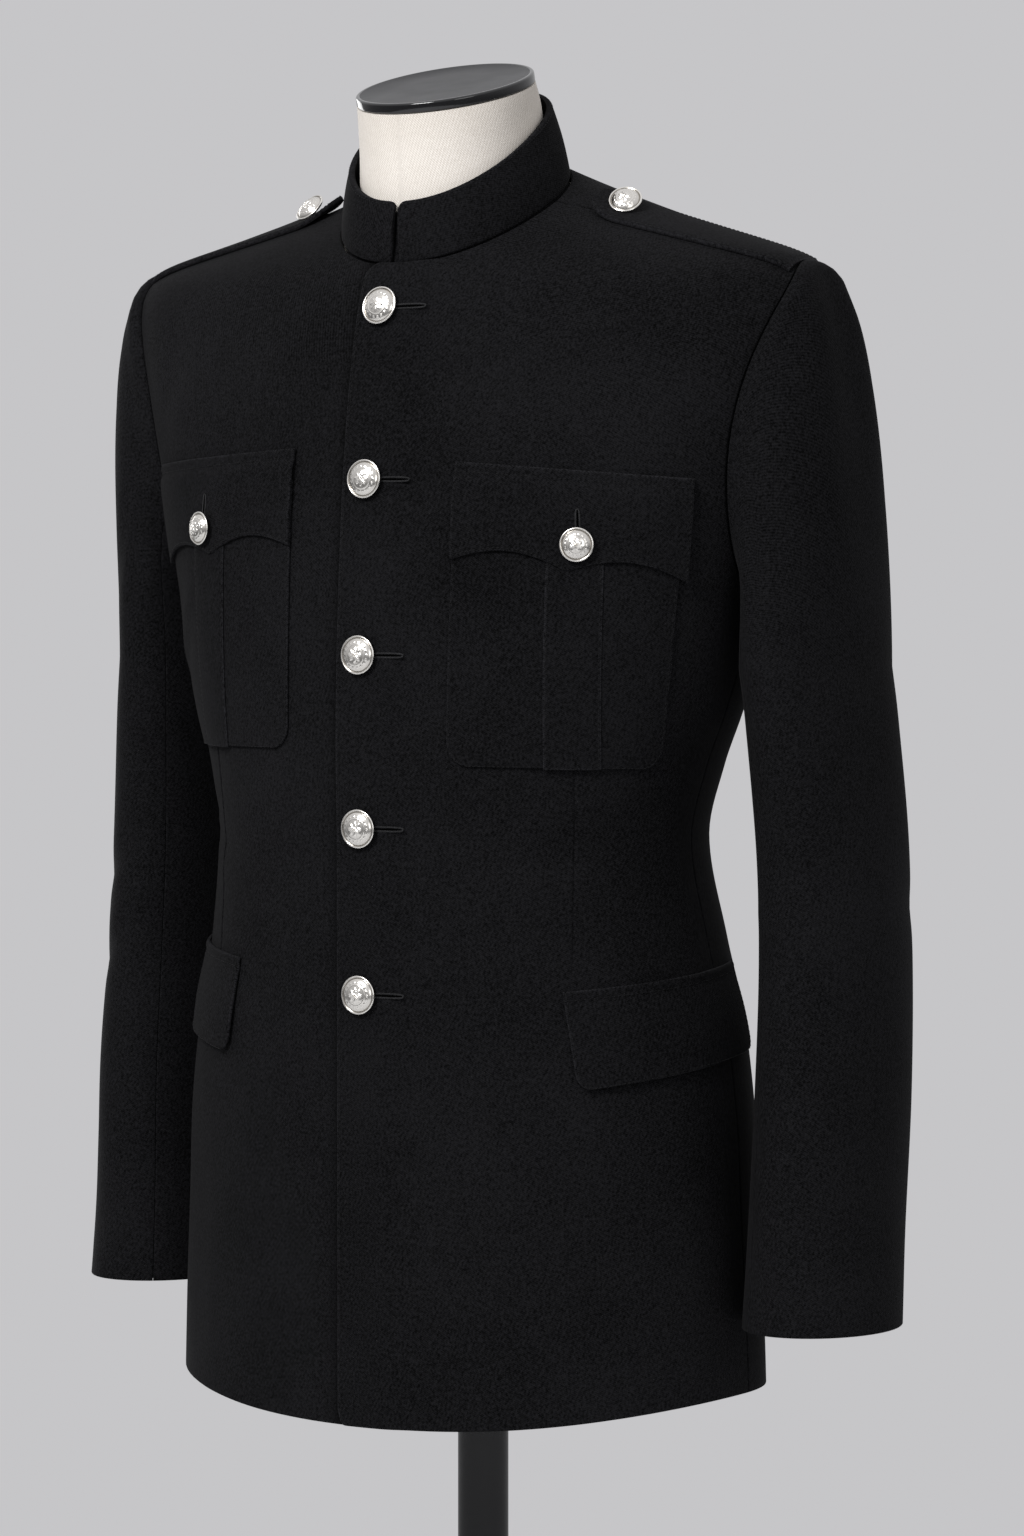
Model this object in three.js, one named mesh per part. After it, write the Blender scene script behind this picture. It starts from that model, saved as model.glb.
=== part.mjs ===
// Military dress jacket on a limbless dress form with a pole stand.
// Millimetres, +Z up. The origin is on the pole's axis at the floor, the jacket faces -Y
// and the wearer's left is towards +X. Every cloth piece is a thin closed wall.
import * as THREE from 'three';

// ---- Cloth and gaps ----
const CLOTH = 2;             // wall of a panel with what is fused behind it
const SEAM = 0.3;            // gap between two pieces at a seam
const REST = 0.3;            // gap between a hard piece and its seat
const LIE = 0.7;             // gap between a cloth piece and the curved panel that it lies on
const POCKET_CLOTH = 1.2;    // one layer of a patch pocket
const PLEAT_CLOTH = 1;       // the pleat that stands on the pocket
const FLAP_CLOTH = 2;        // a flap, sewn double
const COLLAR_CLOTH = 3.5;    // stand collar, two layers round a canvas

// ---- Body of the jacket: level sections up to the armpit ----
const ARMPIT = 1160;
const SECTIONS = [
  { z: 640, half: 198, front: -139, back: 113 },
  { z: 700, half: 196, front: -139, back: 113 },
  { z: 775, half: 192, front: -139, back: 112 },
  { z: 838, half: 189, front: -139, back: 111 },
  { z: 901, half: 181, front: -139, back: 108 },
  { z: 945, half: 171, front: -139, back: 103 },
  { z: 1009, half: 163, front: -139, back: 89 },
  { z: 1053, half: 171, front: -140, back: 98 },
  { z: 1086, half: 182, front: -140, back: 105 },
  { z: 1122, half: 192, front: -139, back: 111 },
  { z: ARMPIT, half: 200, front: -137, back: 116 },
];
const SQUARENESS = 2.2;      // exponent of the body's oval sections
const HEM = { front: 648, side: 668, back: 664 };

// ---- Rings that carry the body from the armpit over the shoulder to the neck ----
const CHEST_RING = {
  half: 200, front: -137, back: 116, mid: -10.5, n: SQUARENESS,
  zFront: ARMPIT, zSide: ARMPIT, zBack: ARMPIT,
};
const SHOULDER_RING = {
  half: 259, front: -128, back: 118, mid: -4, n: 1.8,
  zFront: 1325, zSide: 1357, zBack: 1368, rise: 4,
};
const NECK_RING = {
  half: 72, front: -103, back: 34, mid: -28, n: 2.1,
  zFront: 1362, zSide: 1403, zBack: 1431,
};
const BEND_CENTRE = 2.3;     // roundness of the chest line at the centre front and back
const BEND_SIDE = 15;        // and at the shoulder point, where it is nearly a corner
const NECK_SEAM_ANGLE = 88;  // degrees round the neck where the shoulder seam ends

// ---- Armhole, an oval seen from the side ----
const ARMHOLE = { y: -4, z: 1261, halfWidth: 53, halfHeight: 101 };
const ARMHOLE_STEP = 20;     // degrees between its points
const FRONT_ARM_SEAM = 120;  // where the sleeve's two seams meet the armhole
const HIND_ARM_SEAM = 260;

// ---- Sleeve sections below the armpit ----
const SLEEVE = [
  { z: 1115, x: 230, y: 17, halfX: 36, halfY: 72 },
  { z: 1080, x: 234, y: 18, halfX: 38, halfY: 68 },
  { z: 1000, x: 240, y: 21, halfX: 40, halfY: 64 },
  { z: 930, x: 243, y: 20, halfX: 41, halfY: 64 },
  { z: 850, x: 244, y: 15, halfX: 42, halfY: 65 },
  { z: 770, x: 243, y: 9, halfX: 43, halfY: 63 },
  { z: 712, x: 244, y: 2, halfX: 46, halfY: 59 },
];
const CAP_ROWS = [0, 0.05, 0.14, 0.28, 0.46, 0.68];

// ---- Closing at the centre front ----
// Distances from the centre line: the left front starts 18 past it, the right front 14.
const LAP_LIFT = CLOTH + 0.45;
const LAP_COLUMNS = [-18, -14, 0, 14, 22, 32, 44];
const UNDER_COLUMNS = [-14, 0, 14, 18, 32, 44];
const LAP_CORNER = 12;       // radius of its corners at the neck and hem
const BUTTON_LEVELS = [1335, 1230, 1123, 1017, 915];
const BUTTON_RADIUS = 12;
const SMALL_BUTTON_RADIUS = 10.5;
const BUTTON_SIDES = 16;

// ---- Collar ----
const COLLAR_TOP = {
  half: 62, front: -100, back: 24, mid: -38, n: 2.1,
  zFront: 1401, zSide: 1444, zBack: 1475,
};
const COLLAR_SEAT = { in: 0.7, up: 0.3 };    // its foot from the panels' edge
const COLLAR_GAP = { bottom: 3.5, top: 0.9, corner: 6 };

// ---- Breast pocket, its pleat and flap: runs are measured round from the centre front ----
const BREAST_FLAP = {
  topInner: { run: 60, z: 1241 }, topOuter: { run: 208, z: 1231 },
  bottomInner: { run: 60, z: 1181 }, bottomOuter: { run: 206, z: 1168 },
  scallop: 9, clear: 3.4, ease: 0.25,
};
const BREAST_POCKET = {
  topInner: { run: 61, z: 1222 }, topOuter: { run: 204, z: 1213 },
  bottomInner: { run: 59, z: 1056.5 }, bottomOuter: { run: 194, z: 1055 }, corner: 14,
};
const PLEAT = { topRun: 138, bottomRun: 136, halfWidth: 17.4, topZ: 1216, bottomZ: 1055 };
const POCKET_BUTTON = { run: 139, z: 1191 };

// ---- Hip flap ----
const HIP_FLAP = {
  topInner: { run: 130, z: 920 }, topOuter: { run: 272, z: 932 },
  bottomInner: { run: 140, z: 861 }, bottomOuter: { run: 285, z: 878 },
  corner: 8, clear: 1.2, ease: 0.2,
};

// The jacket hangs a little turned on its form: the right side's pockets lie higher and nearer
// to the centre front.
const AS_WORN = {
  left: { breast: { run: 0, z: 0 }, hip: { run: 0, z: 0 } },
  right: { breast: { run: -3, z: 8 }, hip: { run: -25, z: 12 } },
};

// ---- Shoulder strap, drawn from above ----
const STRAP = {
  armX: 234, armY: -6, neckX: 95, neckY: -19, armHalf: 20, neckHalf: 18, tip: 20, thick: 2,
  clear: 1,
};
const STRAP_BUTTON = { x: 114, lean: 28, lift: 2.6 };   // it leans forward on its shank

// ---- Dress form and stand ----
const FORM = {
  bottom: 690, inset: 8, shoulderInset: 2.75,
  neckClear: 6, neckRadius: 54.8, neckY: -43, neckZ: 1468.5,
};
const NECK_TILT = THREE.MathUtils.degToRad(16);
const NECK_CAP = { radius: 56, thick: 6.5, edge: 1.2 };
const POLE = { radius: 16, sides: 32 };
const BASE = { radius: 180, rim: 6, height: 14, socket: 24, socketHeight: 34, sides: 48 };

const { degToRad, lerp, smoothstep } = THREE.MathUtils;
const vec = (x, y, z) => new THREE.Vector3(x, y, z);
const signedPower = (value, power) => Math.sign(value) * Math.abs(value) ** power;

// ---- The surface that the jacket's outer face follows ----

// A point of a ring: phi is 0 at the centre front, 90 degrees at the wearer's left. A ring leans
// smoothly through its three levels, unless `rise` bends it up towards the sides.
function ringPoint(ring, phi) {
  const s = Math.sin(phi);
  const c = signedPower(Math.cos(phi), 2 / ring.n);
  const { zFront, zSide, zBack } = ring;
  const depth = c > 0 ? ring.mid - ring.front : ring.back - ring.mid;
  const x = ring.half * signedPower(s, 2 / ring.n);
  const y = ring.mid - depth * c;
  if (ring.rise) {
    const end = c > 0 ? zFront : zBack;
    return vec(x, y, end + (zSide - end) * Math.abs(s) ** ring.rise);
  }
  return vec(x, y, zSide - (zBack - zFront) / 2 * c + ((zFront + zBack) / 2 - zSide) * c * c);
}

// One size of the body's section at a level, on a smooth curve through the table.
function sectionSize(z, key) {
  const last = SECTIONS.length - 1;
  let i = 0;
  while (i < last - 1 && z > SECTIONS[i + 1].z) i += 1;
  const slope = (k) => {
    const below = SECTIONS[Math.max(k - 1, 0)];
    const above = SECTIONS[Math.min(k + 1, last)];
    return (above[key] - below[key]) / (above.z - below.z);
  };
  const step = SECTIONS[i + 1].z - SECTIONS[i].z;
  const t = (z - SECTIONS[i].z) / step;
  const t2 = t * t;
  const t3 = t2 * t;
  return (2 * t3 - 3 * t2 + 1) * SECTIONS[i][key] + (t3 - 2 * t2 + t) * slope(i) * step
    + (3 * t2 - 2 * t3) * SECTIONS[i + 1][key] + (t3 - t2) * slope(i + 1) * step;
}

function levelPoint(phi, z) {
  const front = sectionSize(z, 'front');
  const back = sectionSize(z, 'back');
  const mid = (front + back) / 2;
  const half = sectionSize(z, 'half');
  return ringPoint({ half, front, back, mid, n: SQUARENESS, zFront: z, zSide: z, zBack: z }, phi);
}

// From the chest ring (s = 0) to the neck ring (s = 1), rounded towards the shoulder ring.
function shoulderPoint(phi, s) {
  const chest = ringPoint(CHEST_RING, phi);
  const corner = ringPoint(SHOULDER_RING, phi);
  const neck = ringPoint(NECK_RING, phi);
  const power = BEND_CENTRE + (BEND_SIDE - BEND_CENTRE) * Math.abs(Math.sin(phi)) ** 6;
  const c = Math.cos(s * Math.PI / 2);
  const d = Math.sin(s * Math.PI / 2);
  const radius = (c ** power + d ** power) ** (1 / power);
  const up = d / radius;
  const out = c / radius;
  return chest.multiplyScalar(1 - up)
    .addScaledVector(neck, 1 - out)
    .addScaledVector(corner, up + out - 1);
}

function hemLevel(phi) {
  const end = Math.cos(phi) > 0 ? HEM.front : HEM.back;
  return end + (HEM.side - end) * Math.sin(phi) ** 2;
}

// v is 0 at the hem, 1 at the armpit and 2 at the neck.
function bodyPoint(phi, v) {
  if (v > 1) return shoulderPoint(phi, v - 1);
  return levelPoint(phi, lerp(hemLevel(phi), ARMPIT, v));
}

function surfaceNormal(surface, u, v, low, high) {
  const e = 1e-4;
  const across = surface(u + e, v).sub(surface(u - e, v));
  const along = surface(u, Math.min(v + e, high)).sub(surface(u, Math.max(v - e, low)));
  return across.cross(along).normalize();
}

const bodyNormal = (phi, v) => surfaceNormal(bodyPoint, phi, v, 0, 2);

function onBody(phi, v, offset) {
  return bodyPoint(phi, v).addScaledVector(bodyNormal(phi, v), offset);
}

// Finds phi and v where two coordinates of the upper body have the wanted values.
function solveBody(keys, wanted, start) {
  const place = [...start];
  const e = 1e-4;
  const read = (phi, v) => {
    const p = bodyPoint(phi, v);
    return [p[keys[0]], p[keys[1]]];
  };
  for (let turn = 0; turn < 40; turn += 1) {
    const here = read(...place);
    const byPhi = read(place[0] + e, place[1]).map((q, i) => (q - here[i]) / e);
    const byV = read(place[0], place[1] + e).map((q, i) => (q - here[i]) / e);
    const miss = [wanted[0] - here[0], wanted[1] - here[1]];
    const det = byPhi[0] * byV[1] - byPhi[1] * byV[0];
    const dPhi = (miss[0] * byV[1] - miss[1] * byV[0]) / det;
    const dV = (byPhi[0] * miss[1] - byPhi[1] * miss[0]) / det;
    place[0] += THREE.MathUtils.clamp(dPhi, -0.15, 0.15);
    place[1] = THREE.MathUtils.clamp(place[1] + THREE.MathUtils.clamp(dV, -0.15, 0.15), 1, 1.9999);
  }
  return place;
}

// ---- Places on the body given in real sizes ----

const sliceCache = new Map();
const SLICE_STEP = degToRad(2);

function heightToV(phi, z) {
  if (z <= ARMPIT) return (z - hemLevel(phi)) / (ARMPIT - hemLevel(phi));
  let low = 1;
  let high = 2;
  for (let turn = 0; turn < 40; turn += 1) {
    const mid = (low + high) / 2;
    if (bodyPoint(phi, mid).z < z) low = mid;
    else high = mid;
  }
  return low;
}

// phi and v at a level, `run` mm round from the centre front towards the wearer's left.
function placeAt(run, z) {
  if (!sliceCache.has(z)) {
    const lengths = [0];
    let previous = bodyPoint(0, heightToV(0, z));
    for (let i = 1; i * SLICE_STEP < degToRad(125); i += 1) {
      const phi = i * SLICE_STEP;
      const point = bodyPoint(phi, heightToV(phi, z));
      lengths.push(lengths[i - 1] + point.distanceTo(previous));
      previous = point;
    }
    sliceCache.set(z, lengths);
  }
  const lengths = sliceCache.get(z);
  let i = 0;
  while (i < lengths.length - 2 && lengths[i + 1] < run) i += 1;
  const phi = (i + (run - lengths[i]) / (lengths[i + 1] - lengths[i])) * SLICE_STEP;
  return [phi, heightToV(phi, z)];
}

// phi where the surface is x mm to the wearer's left of the centre front.
function phiAtX(x, v) {
  let low = 0;
  let high = Math.PI / 2;
  for (let turn = 0; turn < 40; turn += 1) {
    const mid = (low + high) / 2;
    if (bodyPoint(mid, v).x < Math.abs(x)) low = mid;
    else high = mid;
  }
  return Math.sign(x) * low;
}

// ---- Solids ----

function solidFrom(triangles) {
  const geometry = new THREE.BufferGeometry();
  const numbers = triangles.flatMap((p) => [p.x, p.y, p.z]);
  geometry.setAttribute('position', new THREE.Float32BufferAttribute(numbers, 3));
  geometry.computeVertexNormals();
  return geometry;
}

function addQuad(triangles, a, b, c, d) {
  triangles.push(a, b, c, a, c, d);
}

// Closes a grid of outer points and the grid behind it into one wall. Seen from
// outside, columns run to the right and rows up, or both the other way.
function wall(outer, inner) {
  const triangles = [];
  const rows = outer.length - 1;
  const columns = outer[0].length - 1;
  for (let i = 0; i < rows; i += 1) {
    for (let j = 0; j < columns; j += 1) {
      addQuad(triangles, outer[i][j], outer[i][j + 1], outer[i + 1][j + 1], outer[i + 1][j]);
      addQuad(triangles, inner[i][j], inner[i + 1][j], inner[i + 1][j + 1], inner[i][j + 1]);
    }
  }
  const rim = [];
  for (let j = 0; j < columns; j += 1) rim.push([0, j]);
  for (let i = 0; i < rows; i += 1) rim.push([i, columns]);
  for (let j = columns; j > 0; j -= 1) rim.push([rows, j]);
  for (let i = rows; i > 0; i -= 1) rim.push([i, 0]);
  rim.forEach(([i, j], k) => {
    const [m, n] = rim[(k + 1) % rim.length];
    addQuad(triangles, outer[i][j], inner[i][j], inner[m][n], outer[m][n]);
  });
  return solidFrom(triangles);
}

// Closed rings joined into a body with a flat fan over each end.
function stack(rings) {
  const triangles = [];
  for (let i = 0; i < rings.length - 1; i += 1) {
    rings[i].forEach((point, j) => {
      const k = (j + 1) % rings[i].length;
      addQuad(triangles, point, rings[i][k], rings[i + 1][k], rings[i + 1][j]);
    });
  }
  const middle = (ring) => ring.reduce((sum, p) => sum.add(p), vec(0, 0, 0)).divideScalar(ring.length);
  const bottom = rings[0];
  const top = rings[rings.length - 1];
  bottom.forEach((p, j) => triangles.push(bottom[(j + 1) % bottom.length], p, middle(bottom)));
  top.forEach((p, j) => triangles.push(p, top[(j + 1) % top.length], middle(top)));
  return solidFrom(triangles);
}

// The same solid for the wearer's other side.
function mirrored(geometry) {
  const from = geometry.getAttribute('position');
  const triangles = [];
  for (let i = 0; i < from.count; i += 3) {
    for (const k of [i, i + 2, i + 1]) triangles.push(vec(-from.getX(k), from.getY(k), from.getZ(k)));
  }
  return solidFrom(triangles);
}

const steps = (count) => Array.from({ length: count + 1 }, (_, i) => i / count);

// ---- Armhole ----

function armholePlace(angle) {
  const a = degToRad(angle);
  const y = ARMHOLE.y - ARMHOLE.halfWidth * Math.sin(a);
  const z = ARMHOLE.z + ARMHOLE.halfHeight * Math.cos(a);
  const nearTop = angle < 60 || angle > 300;
  return solveBody(['y', 'z'], [y, z], [degToRad(angle <= 180 ? 80 : 100), nearTop ? 1.5 : 1.3]);
}

const armholeAngles = [];
for (let angle = 180; angle >= 0; angle -= ARMHOLE_STEP) armholeAngles.push(angle);
const SIDE_SEAM = armholePlace(180)[0];
const [SHOULDER_SEAM_PHI, SHOULDER_SEAM_V] = armholePlace(0);
const HEM_ROWS = [0, 0.012, 0.1, 0.25, 0.42, 0.56, 0.68, 0.78, 0.88];
const SEAM_ROWS = [0.25, 0.5, 0.72, 0.86, 0.94, 1];

// Rows of a front (side = 1) or back (side = -1): v and the angle of the row's outer edge.
function panelRows(side) {
  const rows = HEM_ROWS.map((v) => ({ v, edge: SIDE_SEAM, seam: true }));
  for (const angle of armholeAngles) {
    const [phi, v] = armholePlace(side > 0 ? angle : 360 - angle);
    rows.push({ v, edge: phi, seam: false });
  }
  for (const t of SEAM_ROWS) {
    const edge = lerp(SHOULDER_SEAM_PHI, degToRad(NECK_SEAM_ANGLE), t);
    rows.push({ v: lerp(SHOULDER_SEAM_V, 2, t), edge, seam: true });
  }
  return rows;
}

// The row's edge, drawn back by half of the seam's gap where it meets another panel.
function trimmedEdge(row, side) {
  if (!row.seam) return row.edge;
  const reach = bodyPoint(row.edge + 0.01, row.v).distanceTo(bodyPoint(row.edge, row.v)) / 0.01;
  return row.edge - side * SEAM / 2 / reach;
}

// ---- Panels of the body ----

function cornerRound(distance, radius) {
  if (distance >= radius) return 0;
  return radius - Math.sqrt(radius ** 2 - (radius - distance) ** 2);
}

function frontPanel(columnsAtX, lift) {
  const outer = [];
  const inner = [];
  for (const row of panelRows(1)) {
    const level = bodyPoint(0, row.v);
    const fromNeck = level.distanceTo(bodyPoint(0, 2));
    const fromHem = level.distanceTo(bodyPoint(0, 0));
    const cut = Math.max(cornerRound(fromNeck, LAP_CORNER), cornerRound(fromHem, LAP_CORNER) / 2);
    const start = columnsAtX[0] + Math.min(cut, LAP_CORNER * 0.75);
    const near = columnsAtX.map((x, j) => {
      const shifted = j < 2 ? Math.max(x, start + j * 3) : x;
      return { phi: phiAtX(shifted, row.v), lift: lift * smoothstep(34 - x, 0, 20) };
    });
    const last = near[near.length - 1].phi;
    const edge = trimmedEdge(row, 1);
    const rest = steps(8).slice(1).map((t) => ({ phi: lerp(last, edge, t), lift: 0 }));
    const places = [...near, ...rest];
    outer.push(places.map((p) => onBody(p.phi, row.v, p.lift)));
    inner.push(places.map((p) => onBody(p.phi, row.v, p.lift - CLOTH)));
  }
  return wall(outer, inner);
}

function backPanel() {
  const outer = [];
  const inner = [];
  for (const row of panelRows(-1)) {
    const edge = trimmedEdge(row, -1);
    const reach = bodyPoint(Math.PI - 0.01, row.v).x / 0.01;
    const centre = Math.PI - SEAM / 2 / reach;
    const places = steps(10).map((t) => lerp(edge, centre, t));
    outer.push(places.map((phi) => onBody(phi, row.v, 0)));
    inner.push(places.map((phi) => onBody(phi, row.v, -CLOTH)));
  }
  return wall(outer, inner);
}

// ---- Sleeves ----

// The way the sleeve leaves the armhole: outwards over the shoulder, down at the armpit.
function sleeveStart(angle) {
  const c = Math.cos(degToRad(angle));
  const top = vec(1, 0, 0.15);
  const side = vec(0.95, 0, -0.45);
  const bottom = vec(0.2, 0, -1);
  const way = side.lerp(c > 0 ? top : bottom, Math.abs(c)).normalize();
  return way.multiplyScalar(c > 0 ? 95 : 60);
}

function sleeveRing(section, angle) {
  const a = degToRad(angle);
  return vec(section.x + section.halfX * Math.cos(a), section.y - section.halfY * Math.sin(a), section.z);
}

// How the body's surface lies at an armhole point: outwards, and on across the seam.
function armholeFrame(angle) {
  const place = armholePlace((angle + 360) % 360);
  const normal = bodyNormal(...place);
  const before = bodyPoint(...armholePlace((angle + 359) % 360));
  const after = bodyPoint(...armholePlace((angle + 361) % 360));
  const onward = normal.clone().cross(after.sub(before)).normalize();
  return { point: bodyPoint(...place), normal, onward };
}

const frameCache = new Map();
function armholeAt(angle) {
  const key = angle.toFixed(3);
  if (!frameCache.has(key)) frameCache.set(key, armholeFrame(angle));
  return frameCache.get(key);
}

// t runs 0 to 1 from the armhole to the armpit section, then 1 more for each section.
function sleevePoint(angle, t) {
  if (t >= 1) {
    const i = Math.min(Math.floor(t) - 1, SLEEVE.length - 2);
    return sleeveRing(SLEEVE[i], angle).lerp(sleeveRing(SLEEVE[i + 1], angle), t - 1 - i);
  }
  const { point, normal, onward } = armholeAt(angle);
  const from = point.clone().addScaledVector(normal, 0.4).addScaledVector(onward, 0.4);
  const to = sleeveRing(SLEEVE[0], angle);
  const length = from.distanceTo(to);
  const leave = sleeveStart(angle);
  leave.setLength(Math.min(leave.length(), length * 0.9));
  const arrive = vec(0, 0, -length);
  const t2 = t * t;
  const t3 = t2 * t;
  return from.multiplyScalar(2 * t3 - 3 * t2 + 1)
    .addScaledVector(leave, t3 - 2 * t2 + t)
    .addScaledVector(to, 3 * t2 - 2 * t3)
    .addScaledVector(arrive, t3 - t2);
}

function sleeveWall(fromAngle, toAngle) {
  const trim = 0.3;
  const rows = [...CAP_ROWS, ...SLEEVE.map((_, i) => i + 1)];
  const angles = [];
  for (let angle = fromAngle; angle <= toAngle; angle += ARMHOLE_STEP) angles.push(angle);
  angles[0] += trim;
  angles[angles.length - 1] -= trim;
  const outer = rows.map((t) => angles.map((angle) => sleevePoint(angle, t)));
  const inner = rows.map((t, i) => angles.map((angle, j) => {
    const e = 1e-3;
    const across = sleevePoint(angle + 1, t).sub(sleevePoint(angle - 1, t));
    const along = sleevePoint(angle, Math.min(t + e, SLEEVE.length)).sub(
      sleevePoint(angle, Math.max(t - e, 0)));
    const normal = across.cross(along).normalize();
    if (i === 0) {
      const { onward } = armholeAt(angle);
      normal.addScaledVector(onward, -Math.max(0, normal.dot(onward))).normalize();
    }
    return outer[i][j].clone().addScaledVector(normal, -CLOTH);
  }));
  return wall(outer, inner);
}

// ---- Collar ----

function collar() {
  const outer = [];
  const inner = [];
  for (const t of [0, 0.35, 0.7, 1]) {
    const gap = lerp(COLLAR_GAP.bottom, COLLAR_GAP.top, t);
    const ends = [0, 0.8, 2.4, 4.4, 7];
    const start = (x) => phiAtX(gap + x, 2);
    const left = ends.map((x) => ({ phi: start(x), fromEnd: x }));
    const last = left[left.length - 1].phi;
    const round = steps(22).slice(1, -1).map((k) => (
      { phi: lerp(last, 2 * Math.PI - last, k), fromEnd: COLLAR_GAP.corner }));
    const right = [...left].reverse().map((p) => ({ phi: 2 * Math.PI - p.phi, fromEnd: p.fromEnd }));
    const outerRow = [];
    const innerRow = [];
    for (const { phi, fromEnd } of [...left, ...round, ...right]) {
      const foot = onBody(phi, 2, COLLAR_SEAT.up);
      const head = ringPoint(COLLAR_TOP, phi);
      const rise = head.clone().sub(foot);
      const across = bodyPoint(phi + 0.01, 2).sub(bodyPoint(phi - 0.01, 2));
      const normal = across.clone().cross(rise).normalize();
      const onward = bodyNormal(phi, 2).cross(across).normalize();
      foot.addScaledVector(onward, COLLAR_SEAT.in);
      const cut = cornerRound(fromEnd, COLLAR_GAP.corner) / rise.length();
      const point = foot.lerp(head, t * (1 - cut));
      outerRow.push(point);
      innerRow.push(point.clone().addScaledVector(normal, -COLLAR_CLOTH));
    }
    outer.push(outerRow);
    inner.push(innerRow);
  }
  return wall(outer, inner);
}

// ---- Pieces that lie on the panels ----

// Rows go up from the bottom edge: `place` gives the run and level of row t and column u, moved
// by `shift`, and `offset` how far the inner face stands off.
function patch(rows, columns, place, shift, offset, thick) {
  const outer = [];
  const inner = [];
  for (const t of rows) {
    const places = columns.map((u) => {
      const { run, z } = place(t, u);
      return placeAt(run + shift.run, z + shift.z);
    });
    outer.push(places.map(([phi, v]) => onBody(phi, v, offset(t) + thick)));
    inner.push(places.map(([phi, v]) => onBody(phi, v, offset(t))));
  }
  return wall(outer, inner);
}

const between = (a, b, t) => ({ run: lerp(a.run, b.run, t), z: lerp(a.z, b.z, t) });

// A place on a four-cornered piece, t = 0 at its bottom edge, corners rounded there.
function cornered(piece, t, u) {
  const inner = between(piece.bottomInner, piece.topInner, t);
  const outer = between(piece.bottomOuter, piece.topOuter, t);
  const cut = cornerRound(t * (piece.topInner.z - piece.bottomInner.z), piece.corner);
  inner.run += cut;
  outer.run -= cut;
  return between(inner, outer, u);
}

function breastPocket(shift) {
  const rows = [0, 0.012, 0.04, 0.09, 0.3, 0.5, 0.65, 0.82, 1];
  const place = (t, u) => cornered(BREAST_POCKET, t, u);
  return patch(rows, steps(12), place, shift, () => LIE, POCKET_CLOTH);
}

function pocketPleat(shift) {
  const place = (t, u) => ({
    run: lerp(PLEAT.bottomRun, PLEAT.topRun, t) + PLEAT.halfWidth * (2 * u - 1),
    z: lerp(PLEAT.bottomZ, PLEAT.topZ, t),
  });
  const rows = [0, 0.15, 0.3, 0.5, 0.65, 0.82, 1];
  return patch(rows, steps(3), place, shift, () => LIE + REST + POCKET_CLOTH, PLEAT_CLOTH);
}

// How far a flap's inner face stands off: it starts on the panel and rides up over the rest.
function flapOffset(flap, t) {
  return lerp(LIE, flap.clear, smoothstep(1 - t, 0, flap.ease));
}

function breastFlap(shift) {
  const place = (t, u) => {
    const bottom = between(BREAST_FLAP.bottomInner, BREAST_FLAP.bottomOuter, u);
    bottom.z += BREAST_FLAP.scallop * Math.abs(Math.sin(2 * Math.PI * u));
    return between(bottom, between(BREAST_FLAP.topInner, BREAST_FLAP.topOuter, u), t);
  };
  const rows = [0, 0.25, 0.5, 0.75, 0.88, 1];
  return patch(rows, steps(14), place, shift, (t) => flapOffset(BREAST_FLAP, t), FLAP_CLOTH);
}

function hipFlap(shift) {
  const rows = [0, 0.03, 0.09, 0.2, 0.5, 0.8, 0.9, 1];
  const place = (t, u) => cornered(HIP_FLAP, t, u);
  return patch(rows, steps(9), place, shift, (t) => flapOffset(HIP_FLAP, t), FLAP_CLOTH);
}

// ---- Shoulder strap ----

function strapPlace(x, across) {
  const t = (STRAP.armX - x) / (STRAP.armX - STRAP.neckX);
  const y = lerp(STRAP.armY, STRAP.neckY, t) + across;
  return solveBody(['x', 'y'], [x, y], [degToRad(90), lerp(1.56, 1.85, t)]);
}

function shoulderStrap() {
  const outer = [];
  const inner = [];
  const tipRows = [0, 2, 7, 14, STRAP.tip];
  const tipXs = tipRows.map((d) => STRAP.neckX + d);
  const length = STRAP.armX - STRAP.neckX - STRAP.tip;
  const xs = [...tipXs, ...steps(6).slice(1).map((t) => STRAP.neckX + STRAP.tip + length * t)];
  for (const x of xs) {
    const t = (STRAP.armX - x) / (STRAP.armX - STRAP.neckX);
    const fromTip = Math.min(1, (x - STRAP.neckX) / STRAP.tip);
    const round = Math.sqrt(1 - (1 - fromTip) ** 2);
    const half = lerp(STRAP.armHalf, STRAP.neckHalf, t) * lerp(0.25, 1, round);
    const places = [-1, -0.6, -0.2, 0.2, 0.6, 1].map((u) => strapPlace(x, u * half));
    outer.push(places.map(([phi, v]) => onBody(phi, v, STRAP.clear + STRAP.thick)));
    inner.push(places.map(([phi, v]) => onBody(phi, v, STRAP.clear)));
  }
  return wall(outer.reverse(), inner.reverse());
}

// ---- Buttons ----

function buttonSolid(radius) {
  const profile = [[0, 0], [3.2, 0], [3.2, 1.4], [radius - 1, 1.9], [radius, 2.8], [radius - 0.7, 3.8]];
  const inside = radius - 1.9;
  profile.push([inside, 3.5]);
  for (const a of [30, 60]) {
    profile.push([inside * Math.cos(degToRad(a)), 3.5 + 3.2 * Math.sin(degToRad(a))]);
  }
  profile.push([0, 6.7]);
  const points = profile.map(([r, h]) => new THREE.Vector2(r, h));
  return new THREE.LatheGeometry(points, BUTTON_SIDES).rotateX(Math.PI / 2);
}

// ---- Dress form and stand ----

const ROUND_COLUMNS = 32;
const roundAngles = Array.from({ length: ROUND_COLUMNS }, (_, j) => 2 * Math.PI * j / ROUND_COLUMNS);

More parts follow.
